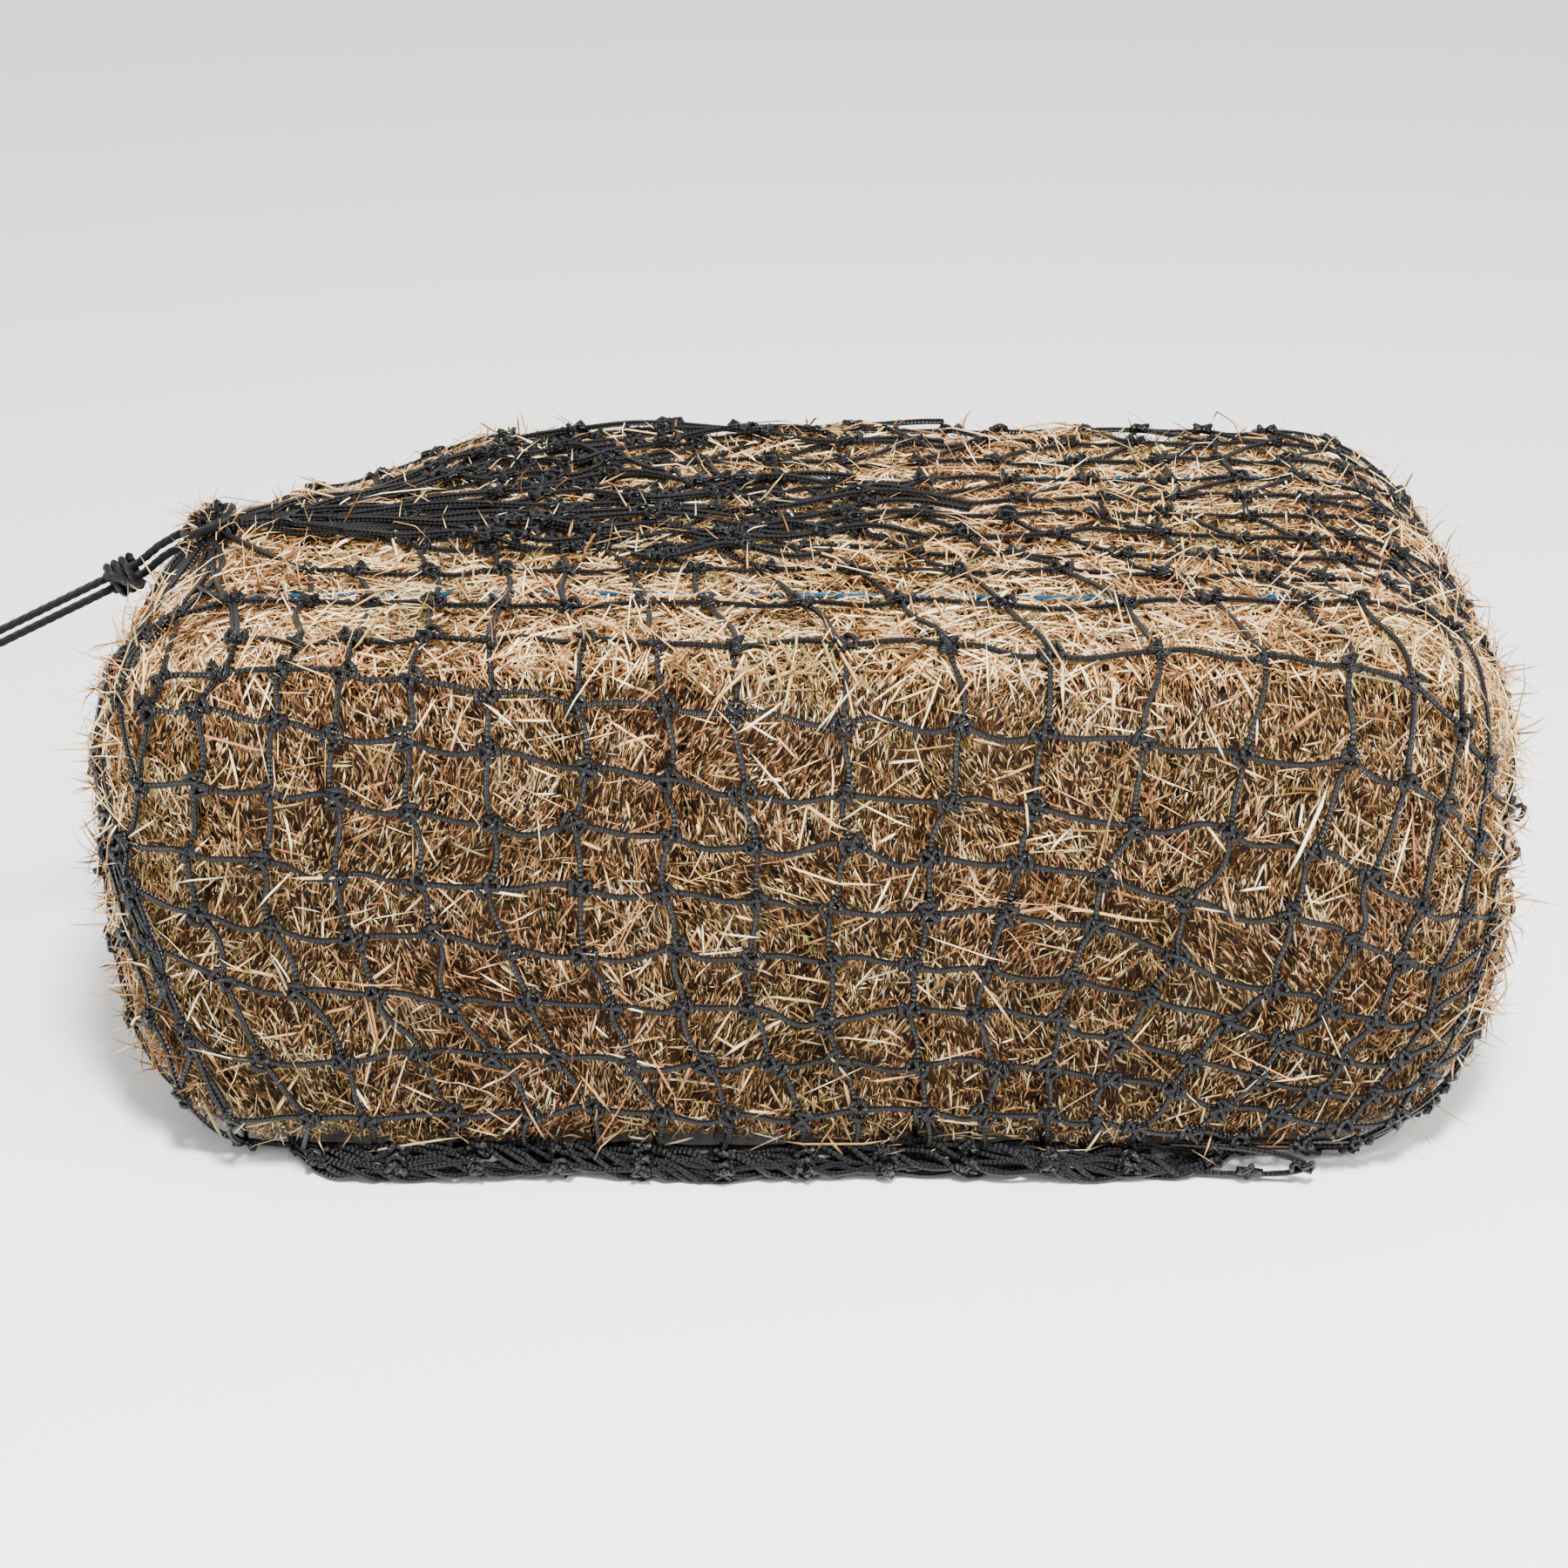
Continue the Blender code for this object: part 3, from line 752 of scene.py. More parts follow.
    def grow(self, rng: np.random.Generator, growth: Growth) -> tuple[np.ndarray, np.ndarray]:
        """The blades of one kind.

        A blade is a spindle of one or two three-sided rings between two tips. Its middle is
        on the bale's normal; it turns in the surface, to the flakes' lay or at random, and
        tilts out of it by a random angle.

        Args:
            rng: Random numbers.
            growth: The kind of blade.

        Returns:
            Points (n, v, 3) and tones (n, 3).
        """
        places = self.seeds(rng, growth)
        n = len(places)
        outward = FORM.normal(places)
        level = np.where(np.abs(outward[:, :1]) > 0.7, [[0.0, 1.0, 0.0]], [[1.0, 0.0, 0.0]])
        other = unit(np.cross(outward, level))
        along = np.cross(other, outward)
        lay = math.pi / 2.0 + 0.45 * self.noise(places, 7.0, 21) + rng.normal(0.0, 0.30, n)
        turn = np.where(rng.random(n) < growth.aligned, lay, rng.uniform(0.0, math.pi, n))
        lying = along * np.cos(turn)[:, None] + other * np.sin(turn)[:, None]
        tilt = rng.normal(0.0, growth.tilt, n).clip(-1.3, 1.3)
        way = unit(lying * np.cos(tilt)[:, None] + outward * np.sin(tilt)[:, None])
        length = (rng.gamma(5.0, growth.length[0] / 5.0, n)).clip(*growth.length[1:])
        width = (rng.gamma(6.0, growth.width[0] / 6.0, n)).clip(*growth.width[1:])
        lift = rng.uniform(*growth.lift, n)
        centre = places + outward * (lift + self.relief(places))[:, None]
        side = unit(np.cross(way, outward + rng.normal(0.0, 0.35, (n, 3))))
        up = np.cross(side, way)
        bow = rng.normal(0.0, 0.075, n) * length
        stations = np.array([-0.5, 0.08, 0.5]) if growth.rings == 1 else np.array([-0.5, -0.25, 0.25, 0.5])
        curve = 1.0 - (2.0 * stations) ** 2
        line = centre[:, None] + way[:, None] * (stations * length[:, None])[..., None]
        line = line + up[:, None] * (curve * bow[:, None])[..., None]
        turns = np.array([90.0, 210.0, 330.0]) * math.pi / 180.0
        thick = width * rng.uniform(0.35, 0.9, n)
        ring = side[:, None] * (np.cos(turns) * width[:, None])[..., None]
        ring = ring + up[:, None] * (np.sin(turns) * thick[:, None])[..., None]
        rings = line[:, 1:-1, None] + ring[:, None] * 0.5
        points = np.concatenate([rings.reshape(n, -1, 3), line[:, [0, -1]]], axis=1)
        patch = 0.13 * self.noise(places, 12.0, 9)
        shade = rng.beta(1.25, 1.35, n) + patch + growth.shade
        kind = rng.random(n) + 0.10 * self.noise(places, 6.0, 13)
        # Painted shade: blades darker towards the floor.
        painted_low_shade = np.interp(places[:, 2], [0.02, 0.25], [0.64, 1.0])
        # Painted shade and highlight: blades darker the deeper they lie in the hay, as shade between blades,
        # and the outermost a little brighter.
        light = np.interp(lift, [-0.010, -0.003, 0.003], [0.05, 0.70, 1.10]) * painted_low_shade
        return points, np.stack([shade.clip(0.02, 0.98), kind, light], axis=1)

    def tuft(self, rng: np.random.Generator, piece: Piece) -> None:
        """Adds the tuft caught in the mouth: curved blades from the neck outwards.

        Each blade leaves the neck in its own direction, mostly outward, and bends towards
        the floor with the square of the way along it.

        Args:
            rng: Random numbers.
            piece: The first flake's piece.
        """
        n = self.tuft_blades
        place, outward, _ = mouth_frame()
        way = unit(outward * rng.uniform(0.05, 1.0, (n, 1)) + rng.normal(0.0, 0.6, (n, 3)))
        start = place + outward * 0.008 + rng.normal(0.0, 0.0055, (n, 3))
        part = np.linspace(0.0, 1.0, 5)
        length = rng.uniform(0.014, 0.036, n)
        line = start[:, None] + way[:, None] * (part * length[:, None])[..., None]
        line[..., 2] -= 0.25 * length[:, None] * part**2
        width = rng.uniform(0.0004, 0.0010, (n, 1)) * (1.0 - 0.7 * part)
        normals = unit(np.cross(way, rng.normal(0.0, 1.0, (n, 3))))[:, None] + 0.0 * line
        points = sweep(line, normals, width[..., None], 3)
        kept = self.kept(points)
        faces, sheet = tube_faces(5, 3)
        tone = rng.uniform([0.45, 0.0, 0.85], [0.95, 0.6, 1.05], (n, 3))[kept]
        piece.add(points[kept], faces, sheet, tone=tone[:, None], share=0.02)

    def build(self) -> list:
        """Makes every flake.

        Returns:
            The flakes' objects.
        """
        rng = np.random.default_rng(self.seed)
        material = self.finish.material()
        pitch = FORM.length / self.flakes
        pieces = []
        for number in range(self.flakes):
            low = -FORM.length / 2.0 + number * pitch
            pieces.append(Piece(f"hay_flake_{number + 1:02d}"))
            self.core(pieces[-1], low + 0.0004, low + pitch - 0.0004)
        for growth in self.growths:
            points, tones = self.grow(rng, growth)
            kept = self.kept(points)
            points, tones = points[kept], tones[kept]
            middle = points.mean(axis=1)[:, 0] + FORM.length / 2.0
            index = (middle / pitch).astype(int).clip(0, self.flakes - 1)
            faces, sheet = tube_faces(growth.rings, 3)
            for number, piece in enumerate(pieces):
                mine = index == number
                share = growth.count / 60000.0
                piece.add(points[mine], faces, sheet, tone=tones[mine][:, None], share=share)
        self.tuft(rng, pieces[0])
        for number, piece in enumerate(pieces, 1):
            fit(piece.build(material), ROOT_BODY, f"flake_{number:02d}")


@dataclass
class Net:
    """The knotted net: a grid of knots round the bale, twine between them, knots on them."""

    finish: TwineFinish = TwineFinish()
    twine: float = 0.0020
    lift: float = 0.0085
    seed: int = 23
    base: tuple = (0.4660, 0.0, 0.1629)
    columns: tuple = (0.0, 4.0, 8.0, 12.0, 14.0, 16.0, 18.0)
    rows: tuple = (1.0, 3.0, 5.0, 7.0, 9.0)
    front_x: tuple = (
        (-0.391, -0.234, -0.045, 0.218, 0.336, 0.408, 0.450),
        (-0.405, -0.248, -0.035, 0.206, 0.320, 0.395, 0.447),
        (-0.432, -0.247, -0.034, 0.178, 0.297, 0.370, 0.435),
        (-0.428, -0.224, -0.035, 0.159, 0.246, 0.330, 0.405),
        (-0.374, -0.181, -0.006, 0.162, 0.220, 0.290, 0.365),
    )
    front_g: tuple = (
        (0.200, 0.207, 0.197, 0.188, 0.180, 0.155, 0.105),
        (0.160, 0.134, 0.103, 0.078, 0.058, 0.020, -0.025),
        (0.064, 0.038, 0.024, 0.009, -0.040, -0.070, -0.085),
        (-0.034, -0.048, -0.054, -0.060, -0.093, -0.118, -0.128),
        (-0.142, -0.135, -0.135, -0.135, -0.145, -0.158, -0.170),
    )
    top_y: tuple = (0.162, 0.122, 0.086, 0.054, 0.023, -0.009, -0.043, -0.084, -0.138)
    top_first: tuple = (2, 3, 4, 5, 5, 5, 4, 2, 1)
    rim_top: tuple = (-76.0, 76.0, 7)  # degrees of the first and last bunch, and their number
    rim_end: tuple = (242.0, 118.0, 5)

    def __post_init__(self) -> None:
        """Starts the random numbers and the empty lists of knots and twines."""
        self.rng = np.random.default_rng(self.seed)
        self.knots: list = []
        self.zones: list = []
        self.twines: list = []

    def front(self) -> tuple[np.ndarray, np.ndarray]:
        """X and girth of the front's nine rows by nineteen columns.

        The few chosen values are read off linearly, first along the rows and then along
        the columns.

        Returns:
            X (9, 19) and girth (9, 19).
        """
        columns, rows = np.arange(19.0), np.arange(1.0, 10.0)
        made = []
        for chosen in (self.front_x, self.front_g):
            wide = np.stack([np.interp(columns, self.columns, row) for row in chosen])
            made.append(np.stack([np.interp(rows, self.rows, c) for c in wide.T], axis=1))
        return made[0], made[1]

    def grid(self) -> np.ndarray:
        """Where the knots lie: thirty-six rows round the bale by nineteen columns.

        Front rows come from the chosen values. Under the bale and behind it the columns
        turn even. On top the rows crowd to the middle line, and the columns lean to the
        mouth by a share of their lean: one less the way from the middle, to the power 1.5.
        Behind the middle line every second row is moved along, so that the meshes lie flat.
        Towards the base end the rows spread evenly again.

        Returns:
            Points (36, 19, 3).
        """
        x, g = self.front()
        girth = FORM.girth(self.lift)
        even = np.linspace(-0.412, 0.432, 19)
        share = (np.arange(1, 10) / 10.0)[:, None]
        under_x = x[-1] * (1.0 - share) + even * share
        under_g = np.linspace(-0.195, -0.612, 9)[:, None] + 0.0 * even
        back_g = np.linspace(-0.660, -0.999, 9)[:, None] + 0.010 * np.sin(even * 11.0)
        back_x = even + 0.012 * np.sin(np.arange(9) * 0.8)[:, None]
        y = np.array(self.top_y)[:, None]
        spread = np.linspace(y[0], y[-1], len(y)) - y
        y = y + spread * np.clip((np.arange(19.0) - 9.0) / 7.0, 0.0, 1.0)
        lean = np.interp(np.arange(19.0), [0, 6, 10, 13, 16, 18], [0.03, 0.03, 0.13, 0.125, 0.09, 0.06])
        gathered = (1.0 - np.abs(y) / 0.2) ** 1.5
        edge_x = np.where(y < 0.0, x[0], 0.5 * (x[0] + even))
        stagger = 0.013 * (-1.0) ** np.arange(len(y))[:, None] * np.clip(0.5 + y / 0.08, 0.0, 1.0)
        top_x = edge_x - lean * gathered + stagger
        top_g = girth / 4.0 + y + 0.0 * even
        all_x = np.concatenate([x, under_x, back_x, top_x])
        all_g = np.concatenate([g, under_g, back_g, top_g])
        all_x = all_x + self.rng.normal(0.0, 0.0032, all_x.shape)
        all_g = all_g + self.rng.normal(0.0, 0.0030, all_g.shape)
        return FORM.on_girth(all_x, all_g, self.lift)

    def add_knot(self, place: np.ndarray, zone: Zone) -> int:
        """Adds a knot and returns its number."""
        self.knots.append(place)
        self.zones.append(zone)
        return len(self.knots) - 1

    def join(self, first: int, second: int, zone: Zone, slack: float = 1.0) -> None:
        """Adds a twine between two knots."""
        self.twines.append((first, second, zone, slack))

    def lay_grid(self) -> tuple[list, list]:
        """Adds the grid's knots and twines.

        Returns:
            The numbers of the knots at each row's mouth end, and at its base end.
        """
        places = self.grid()
        rows = 27 + len(self.top_y)
        first = np.zeros(rows, int)
        first[27:] = self.top_first
        first[0] = 1
        zones = [Zone.FRONT] * 9 + [Zone.BOTTOM] * 9 + [Zone.BACK] * 9 + [Zone.TOP] * (rows - 27)
        number = -np.ones((rows, 19), int)
        for row in range(rows):
            for column in range(first[row], 19):
                number[row, column] = self.add_knot(places[row, column], zones[row])
        for row in range(rows):
            for column in range(19):
                here = number[row, column]
                below = number[(row + 1) % rows, column]
                if here < 0:
                    continue
                if column < 18:
                    self.join(here, number[row, column + 1], zones[row])
                if below >= 0:
                    self.join(here, below, zones[row])
        return [number[r, first[r]] for r in range(rows)], [number[r, 18] for r in range(rows)]

    def converge(self, ring: list, pole: np.ndarray, zone: Zone, stop: float, pitch: float) -> list:
        """Carries rows over an end of the bale towards a pole.

        From each row's last knot the row runs straight to the pole and is wrapped on to the
        bale, with a knot every pitch; knots at the same step of neighbouring rows are joined.

        Args:
            ring: Numbers of the rows' last knots.
            pole: Where they run together.
            zone: The end's zone.
            stop: How far from the pole the last knots are.
            pitch: Spacing of the knots.

        Returns:
            The new last knot of each row.
        """
        last = list(ring)
        starts = np.array([self.knots[i] for i in ring])
        steps = np.linspace(0.0, 1.0, 41)[:, None, None]
        paths = FORM.wrap(starts + (pole - starts) * steps, self.lift)
        ways = np.concatenate(
            [np.zeros((1, len(ring))), np.cumsum(np.linalg.norm(np.diff(paths, axis=0), axis=2), axis=0)]
        )
        counts = np.floor((ways[-1] - stop) / pitch).astype(int).clip(0, None)
        for step in range(1, counts.max(initial=0) + 1):
            current = {}
            for row in range(len(ring)):
                if step > counts[row]:
                    continue
                gap = (ways[-1, row] - stop) / counts[row]
                at = step * gap + self.rng.normal(0.0, 0.003)
                place = np.array([np.interp(at, ways[:, row], paths[:, row, k]) for k in range(3)])
                current[row] = self.add_knot(place, zone)
                self.join(last[row], current[row], zone)
                last[row] = current[row]
            for row in current:
                after = (row + 1) % len(ring)
                if after in current:
                    self.join(current[row], current[after], zone)
        return last

    def paths(self, twines: list, knots: np.ndarray, steps: int) -> tuple[np.ndarray, np.ndarray]:
        """The line of each twine between its two knots.

        The straight line between the knots gets a bow and a half wave sideways, a sag on
        the upright faces, and is wrapped on to the bale.

        Args:
            twines: The twines.
            knots: The knots' places.
            steps: Points in a line.

        Returns:
            Paths and normals, each (n, steps, 3).
        """
        n = len(twines)
        start = knots[[t[0] for t in twines]]
        end = knots[[t[1] for t in twines]]
        slack = np.array([t[3] for t in twines])
        part = np.linspace(0.0, 1.0, steps)
        line = start[:, None] + (end - start)[:, None] * part[:, None]
        way = end - start
        long = np.linalg.norm(way, axis=1)
        outward = FORM.normal(line.mean(axis=1))
        side = unit(np.cross(outward, way))
        down = np.array([0.0, 0.0, -1.0])
        bow = self.rng.normal(0.0, 0.055, n) * long * slack
        wave = self.rng.normal(0.0, 0.028, n) * long * slack
        sag = 0.05 * long * slack * np.abs(side[:, 2]) * (1.0 - np.abs(outward[:, 2]))
        shape = np.sin(math.pi * part) * bow[:, None] + np.sin(2 * math.pi * part) * wave[:, None]
        line = line + side[:, None] * shape[..., None]
        line = line + down * (np.sin(math.pi * part) * sag[:, None])[..., None]
        dip = self.rng.uniform(-0.0025, 0.0012, (n, 1)) * np.sin(math.pi * part)
        line = FORM.wrap(line, self.lift + dip)
        return line, FORM.normal(line)

    def twine_tubes(
        self, piece: Piece, paths: np.ndarray, normals: np.ndarray, share: float = 1.0, size: float = 1.0
    ) -> None:
        """Adds round twines along these paths.

        Args:
            piece: The piece they go to.
            paths: Paths (n, m, 3).
            normals: Up at each point, (n, m, 3).
            share: Share of the piece's sheet.
            size: Thickness beside the usual twine.
        """
        sides = 6
        faces, sheet = tube_faces(paths.shape[1], sides)
        long = np.linalg.norm(np.diff(paths, axis=1), axis=2).sum(axis=1)
        lay = sheet * np.stack([long, np.ones_like(long)], axis=1)[:, None, None]
        radius = np.array(self.twine * size)
        piece.add(sweep(paths, normals, radius, sides), faces, sheet, lay, share=share)

    def knot_tubes(self, piece: Piece, places: np.ndarray, size: float = 1.0, share: float = 0.5) -> None:
        """Adds a knot at each place: a short closed twine, crossed over itself.

        The line goes once round: the cosine across, the sine of two turns along, and the
        cosine of three turns up and down, so that it crosses over and under itself.

        Args:
            piece: The piece they go to.
            places: Where the knots are, (n, 3).
            size: Size beside the usual knot.
            share: Share of the piece's sheet.
        """
        n = len(places)
        if n == 0:
            return
        outward = FORM.normal(places)
        spin = self.rng.uniform(0.0, 2.0 * math.pi, n)
        along = unit(np.cross(outward, [0.31, 0.52, 0.79]))
        side = np.cross(outward, along)
        first = along * np.cos(spin)[:, None] + side * np.sin(spin)[:, None]
        second = np.cross(outward, first)
        turn = np.linspace(0.0, 2.0 * math.pi, 15)
        stretch = self.rng.uniform(0.85, 1.2, (n, 1)) * size
        path = places[:, None] + first[:, None] * (0.0063 * np.cos(turn) * stretch)[..., None]
        path = path + second[:, None] * (0.0050 * np.sin(2.0 * turn) * stretch)[..., None]
        path = path + outward[:, None] * (0.0016 + 0.0020 * np.cos(3.0 * turn) + 0.0 * stretch)[..., None]
        normals = np.broadcast_to(outward[:, None], path.shape)
        faces, sheet = tube_faces(15, 5)
        lay = sheet * [0.04, 1.0]
        piece.add(sweep(path, normals, np.array(self.twine * 1.04), 5), faces, sheet, lay, share=share)

    def build(self) -> list:
        """Makes the net's zones.

        Returns:
            Their objects.
        """
        mouth_ring, base_ring = self.lay_grid()
        mouth, base = np.array(MOUTH), np.array(self.base)
        self.mouth_knots = self.converge(mouth_ring, mouth, Zone.MOUTH, stop=0.135, pitch=0.052)
        self.base_knots = self.converge(base_ring, base, Zone.BASE, stop=0.030, pitch=0.050)
        knots = np.array(self.knots)
        material = self.finish.material()
        zones = np.array([z.value for z in self.zones])
        made = []
        for zone in Zone:
            piece = Piece(f"{zone.value}_twine")
            mine = [t for t in self.twines if t[2] is zone]
            paths, normals = self.paths(mine, knots, 10)
            self.twine_tubes(piece, paths, normals)
            self.knot_tubes(piece, knots[zones == zone.value])
            if zone is Zone.TOP:
                self.bundle(piece)
            if zone is Zone.BASE:
                self.base_ends(piece, knots)
            made.append(fit(piece.build(material), ROOT_BODY, zone.value))
        made += self.rim(knots, material)
        made += [self.neck(material), self.roll(material), self.tie(material)]
        return made

    def bundle(self, piece: Piece) -> None:
        """Slack net gathered along the middle of the top, from the mouth on.

        Twines run from near the neck to various places, wandering sideways, with knots on
        the way. The way still to go sideways falls as a power of the way still to go along,
        and the twines that end nearest the rear edge get there soonest.

        Args:
            piece: The top's piece.
        """
        n, steps = 17, 34
        part = np.linspace(0.0, 1.0, steps)
        start_x = self.rng.uniform(-0.372, -0.335, n)
        end_x = self.rng.uniform(-0.14, 0.12, n)
        x = start_x[:, None] + (end_x - start_x)[:, None] * part
        start_y, end_y = self.rng.normal(0.0, 0.007, n), np.linspace(-0.060, 0.185, n)
        phase = self.rng.uniform(0.0, 6.3, (n, 1))
        swerve = 1.7 + 15.0 * end_y.clip(0.0)[:, None]
        y = start_y[:, None] + (end_y - start_y)[:, None] * (1.0 - (1.0 - part) ** swerve)
        wander = np.sin(part * self.rng.uniform(14.0, 30.0, (n, 1)) + phase)
        y = y + 0.0110 * part**0.6 * wander
        line = np.stack([x, y, 0.0 * x + FORM.middle + FORM.height / 2.0], axis=2)
        rise = self.lift + 0.0035 + 0.0035 * np.sin(part * 11.0 + phase)
        line = FORM.wrap(line, rise)
        self.twine_tubes(piece, line, FORM.normal(line), 0.2, 1.12)
        self.knot_tubes(piece, line[:, [13, 18, 23, 28]].reshape(-1, 3), 1.15, share=0.1)

    def base_ends(self, piece: Piece, knots: np.ndarray) -> None:
        """Carries the rows' last knots in to the base tie."""
        start = knots[self.base_knots]
        part = np.linspace(0.0, 1.0, 7)[:, None]
        line = start[:, None] + (np.array(self.base) - start)[:, None] * part
        line = FORM.wrap(line, self.lift)
        self.twine_tubes(piece, line, FORM.normal(line), share=0.2)

    def rim(self, knots: np.ndarray, material: bpy.types.Material) -> list:
        """The rim's long twines from the neck to the net's first knots, in twelve bunches.

        Each line runs straight from the neck to its knot and is wrapped on to the bale;
        each joins the bunch whose bearing round the neck is nearest to its own.

        Args:
            knots: The knots' places.
            material: The twine's finish.

        Returns:
            The bunches' objects.
        """
        place, outward, beside = mouth_frame()
        ends = knots[self.mouth_knots]
        way = ends - place
        bearing = np.arctan2(way[:, 1], way @ beside)
        bunches = np.radians([*np.linspace(*self.rim_top), *np.linspace(*self.rim_end)])
        apart = np.abs(np.angle(np.exp(1j * (bearing[:, None] - bunches))))
        nearest = apart.argmin(axis=1)
        nearest[apart.argmin(axis=0)] = np.arange(len(bunches))
        made = []
        for number in range(1, len(bunches) + 1):
            group = np.flatnonzero(nearest == number - 1)
            piece = Piece(f"rim_twine_{number:02d}")
            part = np.linspace(0.0, 1.0, 16)[:, None]
            turn = bearing[group]
            start = place + 0.0125 * (np.cos(turn)[:, None] * beside + np.sin(turn)[:, None] * [0, 1, 0])
            line = start[:, None] + (ends[group] - start)[:, None] * part
            side = unit(np.cross(outward, ends[group] - start))
            swing = self.rng.normal(0.0, 0.010, (len(group), 1))
            line = line + side[:, None] * (swing * np.sin(math.pi * part[:, 0]))[..., None]
            rise = self.lift + 0.006 * (1.0 - part[:, 0]) ** 3
            line = FORM.wrap(line, rise)
            self.twine_tubes(piece, line, FORM.normal(line), size=1.15)
            made.append(fit(piece.build(material), ROOT_BODY, f"rim_leg_{number:02d}"))
        return made

    def neck(self, material: bpy.types.Material) -> bpy.types.Object:
        """The bunched rim: loops of twine that rise through the noose and turn over.

        Each loop goes up on one side of the neck, turns over above the noose and comes down
        a little further round.

        Args:
            material: The twine's finish.

        Returns:
            The neck's object.
        """
        place, outward, beside = mouth_frame()
        piece = Piece("neck_loops")
        n, steps = 16, 17
        part = np.linspace(0.0, 1.0, steps)
        turn = 2.0 * math.pi * np.arange(n)[:, None] / n + 0.55 * (part - 0.5) * 2.0
        rise = np.sin(math.pi * part) ** 0.6 * self.rng.uniform(0.018, 0.024, (n, 1)) - 0.002
        waist = np.interp(rise, [0.0, 0.011, 0.018, 0.034], [0.0128, 0.0098, 0.0098, 0.0125])
        inner = np.where(np.arange(n)[:, None] % 2 == 0, 1.0, 0.55)
        reach = waist * inner
        line = place + outward * rise[..., None] + beside * (reach * np.cos(turn))[..., None]
        line = line + np.array([0.0, 1.0, 0.0]) * (reach * np.sin(turn))[..., None]
        normals = unit(line - place - outward * (np.sum((line - place) * outward, axis=2)[..., None] - 0.01))
        self.twine_tubes(piece, line, normals)
        tips = np.stack([outward * 0.018 + beside * 0.006, outward * 0.017 - beside * 0.006])
        self.knot_tubes(piece, place + tips)
        return fit(piece.build(material), ROOT_BODY, "neck")

    def roll(self, material: bpy.types.Material) -> bpy.types.Object:
        """Slack net bunched on the floor under the front edge.

        Strands run along the roll and wander round its middle line; the way from the middle
        is a sine of the way along, so that they cross. One loop lies on the floor beside
        it: a half turn of sine along and of cosine down.

        Args:
            material: The twine's finish.

        Returns:
            The roll's object.
        """
        piece = Piece("slack_roll_twine")
        n, steps = 15, 84
        x = np.linspace(-0.345, 0.290, steps)
        middle_y, middle_z = -0.2270, 0.0125
        phase = np.arange(n)[:, None] * 2.0 * math.pi / n
        turn = phase + x * self.rng.uniform(12.0, 46.0, (n, 1)) + 0.8 * np.sin(x * 60.0 + phase * 3.0)
        reach = 0.0045 + 0.0016 * np.sin(x * 75.0 + phase * 5.0)
        tuck = np.clip((np.abs(x - x.mean()) / np.ptp(x) * 2.0 - 0.86) / 0.14, 0.0, 1.0) ** 2
        reach = reach * (1.0 - 0.6 * tuck)
        y = middle_y + reach * (1.15 * np.cos(turn) + 0.55 * np.sin(turn))
        y = y + 0.0025 * np.sin(x * 31.0) + 0.030 * tuck
        z = middle_z + 1.75 * reach * np.sin(turn) + 0.002 * np.sin(x * 23.0) - 0.003 * tuck
        line = np.stack([np.broadcast_to(x, y.shape), y, np.maximum(z, self.twine + 0.0004)], axis=2)
        up = np.broadcast_to(np.array([0.0, -0.6, 0.8]), line.shape)
        self.twine_tubes(piece, line, up, share=2.0)
        places = line[:, 3::7].reshape(-1, 3)
        places = places[places[:, 2] > 0.009]
        self.knot_tubes(piece, places, 1.0)
        part = np.linspace(0.0, 1.0, 30)
        swing = np.sin(math.pi * part)
        drop = 0.015 + 0.011 * np.cos(math.pi * part)
        loop = np.stack([0.240 + 0.088 * swing**0.8, -0.226 - 0.011 * swing, drop], axis=1)
        self.twine_tubes(piece, loop[None], up[:1, :30], share=0.05)
        self.knot_tubes(piece, loop[[17, 24]] + [0.0, 0.0, 0.004], share=0.02)
        return fit(piece.build(material), ROOT_BODY, "slack_roll")

    def tie(self, material: bpy.types.Material) -> bpy.types.Object:
        """The knots that close the net's far end, heaped on one another.

        Args:
            material: The twine's finish.

        Returns:
            The tie's object.
        """
        piece = Piece("base_tie_knots")
        around = 2.0 * math.pi * np.arange(6) / 6.0
        reach = 0.007
        places = np.stack([0.0 * around, reach * np.cos(around), reach * np.sin(around)], axis=1)
        places = np.concatenate([places, [[0.003, 0.0, 0.0]]]) + np.array(self.base)
        self.knot_tubes(piece, places, 1.3)
        return fit(piece.build(material), ROOT_BODY, "base_tie")


def rope(
    piece: Piece, path: np.ndarray, normals: np.ndarray, radius: float, pitch: float, lobes: int = 3
) -> None:
    """Adds a laid rope along one path.

    The radius grows by a share of the size of the cosine of half the lobes' turn, so that
    the strands stand out and the grooves between them wind round once in a pitch.

    Args:
        piece: The piece it goes to.
        path: Its middle line (m, 3).
        normals: Up at each point (m, 3).
        radius: Greatest radius.
        pitch: Length of one full turn.
        lobes: Number of strands.
    """
    sides = 12
    way = np.concatenate([[0.0], np.cumsum(np.linalg.norm(np.diff(path, axis=0), axis=1))])
    turn = 2.0 * math.pi * (np.arange(sides) / sides + way[:, None] / pitch)
    radii = radius * (0.80 + 0.20 * np.abs(np.cos(turn * lobes / 2.0)))
    faces, sheet = tube_faces(len(path), sides)
    lay = sheet * [way[-1], 1.0]
    piece.add(sweep(path[None], normals[None], radii[None], sides), faces, sheet, lay)


def resample(points: np.ndarray, step: float) -> np.ndarray:
    """A path's points, spaced evenly by about this step.

    Args:
        points: The path (m, 3).
        step: The spacing.

    Returns:
        The new points.
    """
    way = np.concatenate([[0.0], np.cumsum(np.linalg.norm(np.diff(points, axis=0), axis=1))])
    at = np.linspace(0.0, way[-1], max(3, int(way[-1] / step) + 1))
    return np.stack([np.interp(at, way, points[:, k]) for k in range(3)], axis=1)


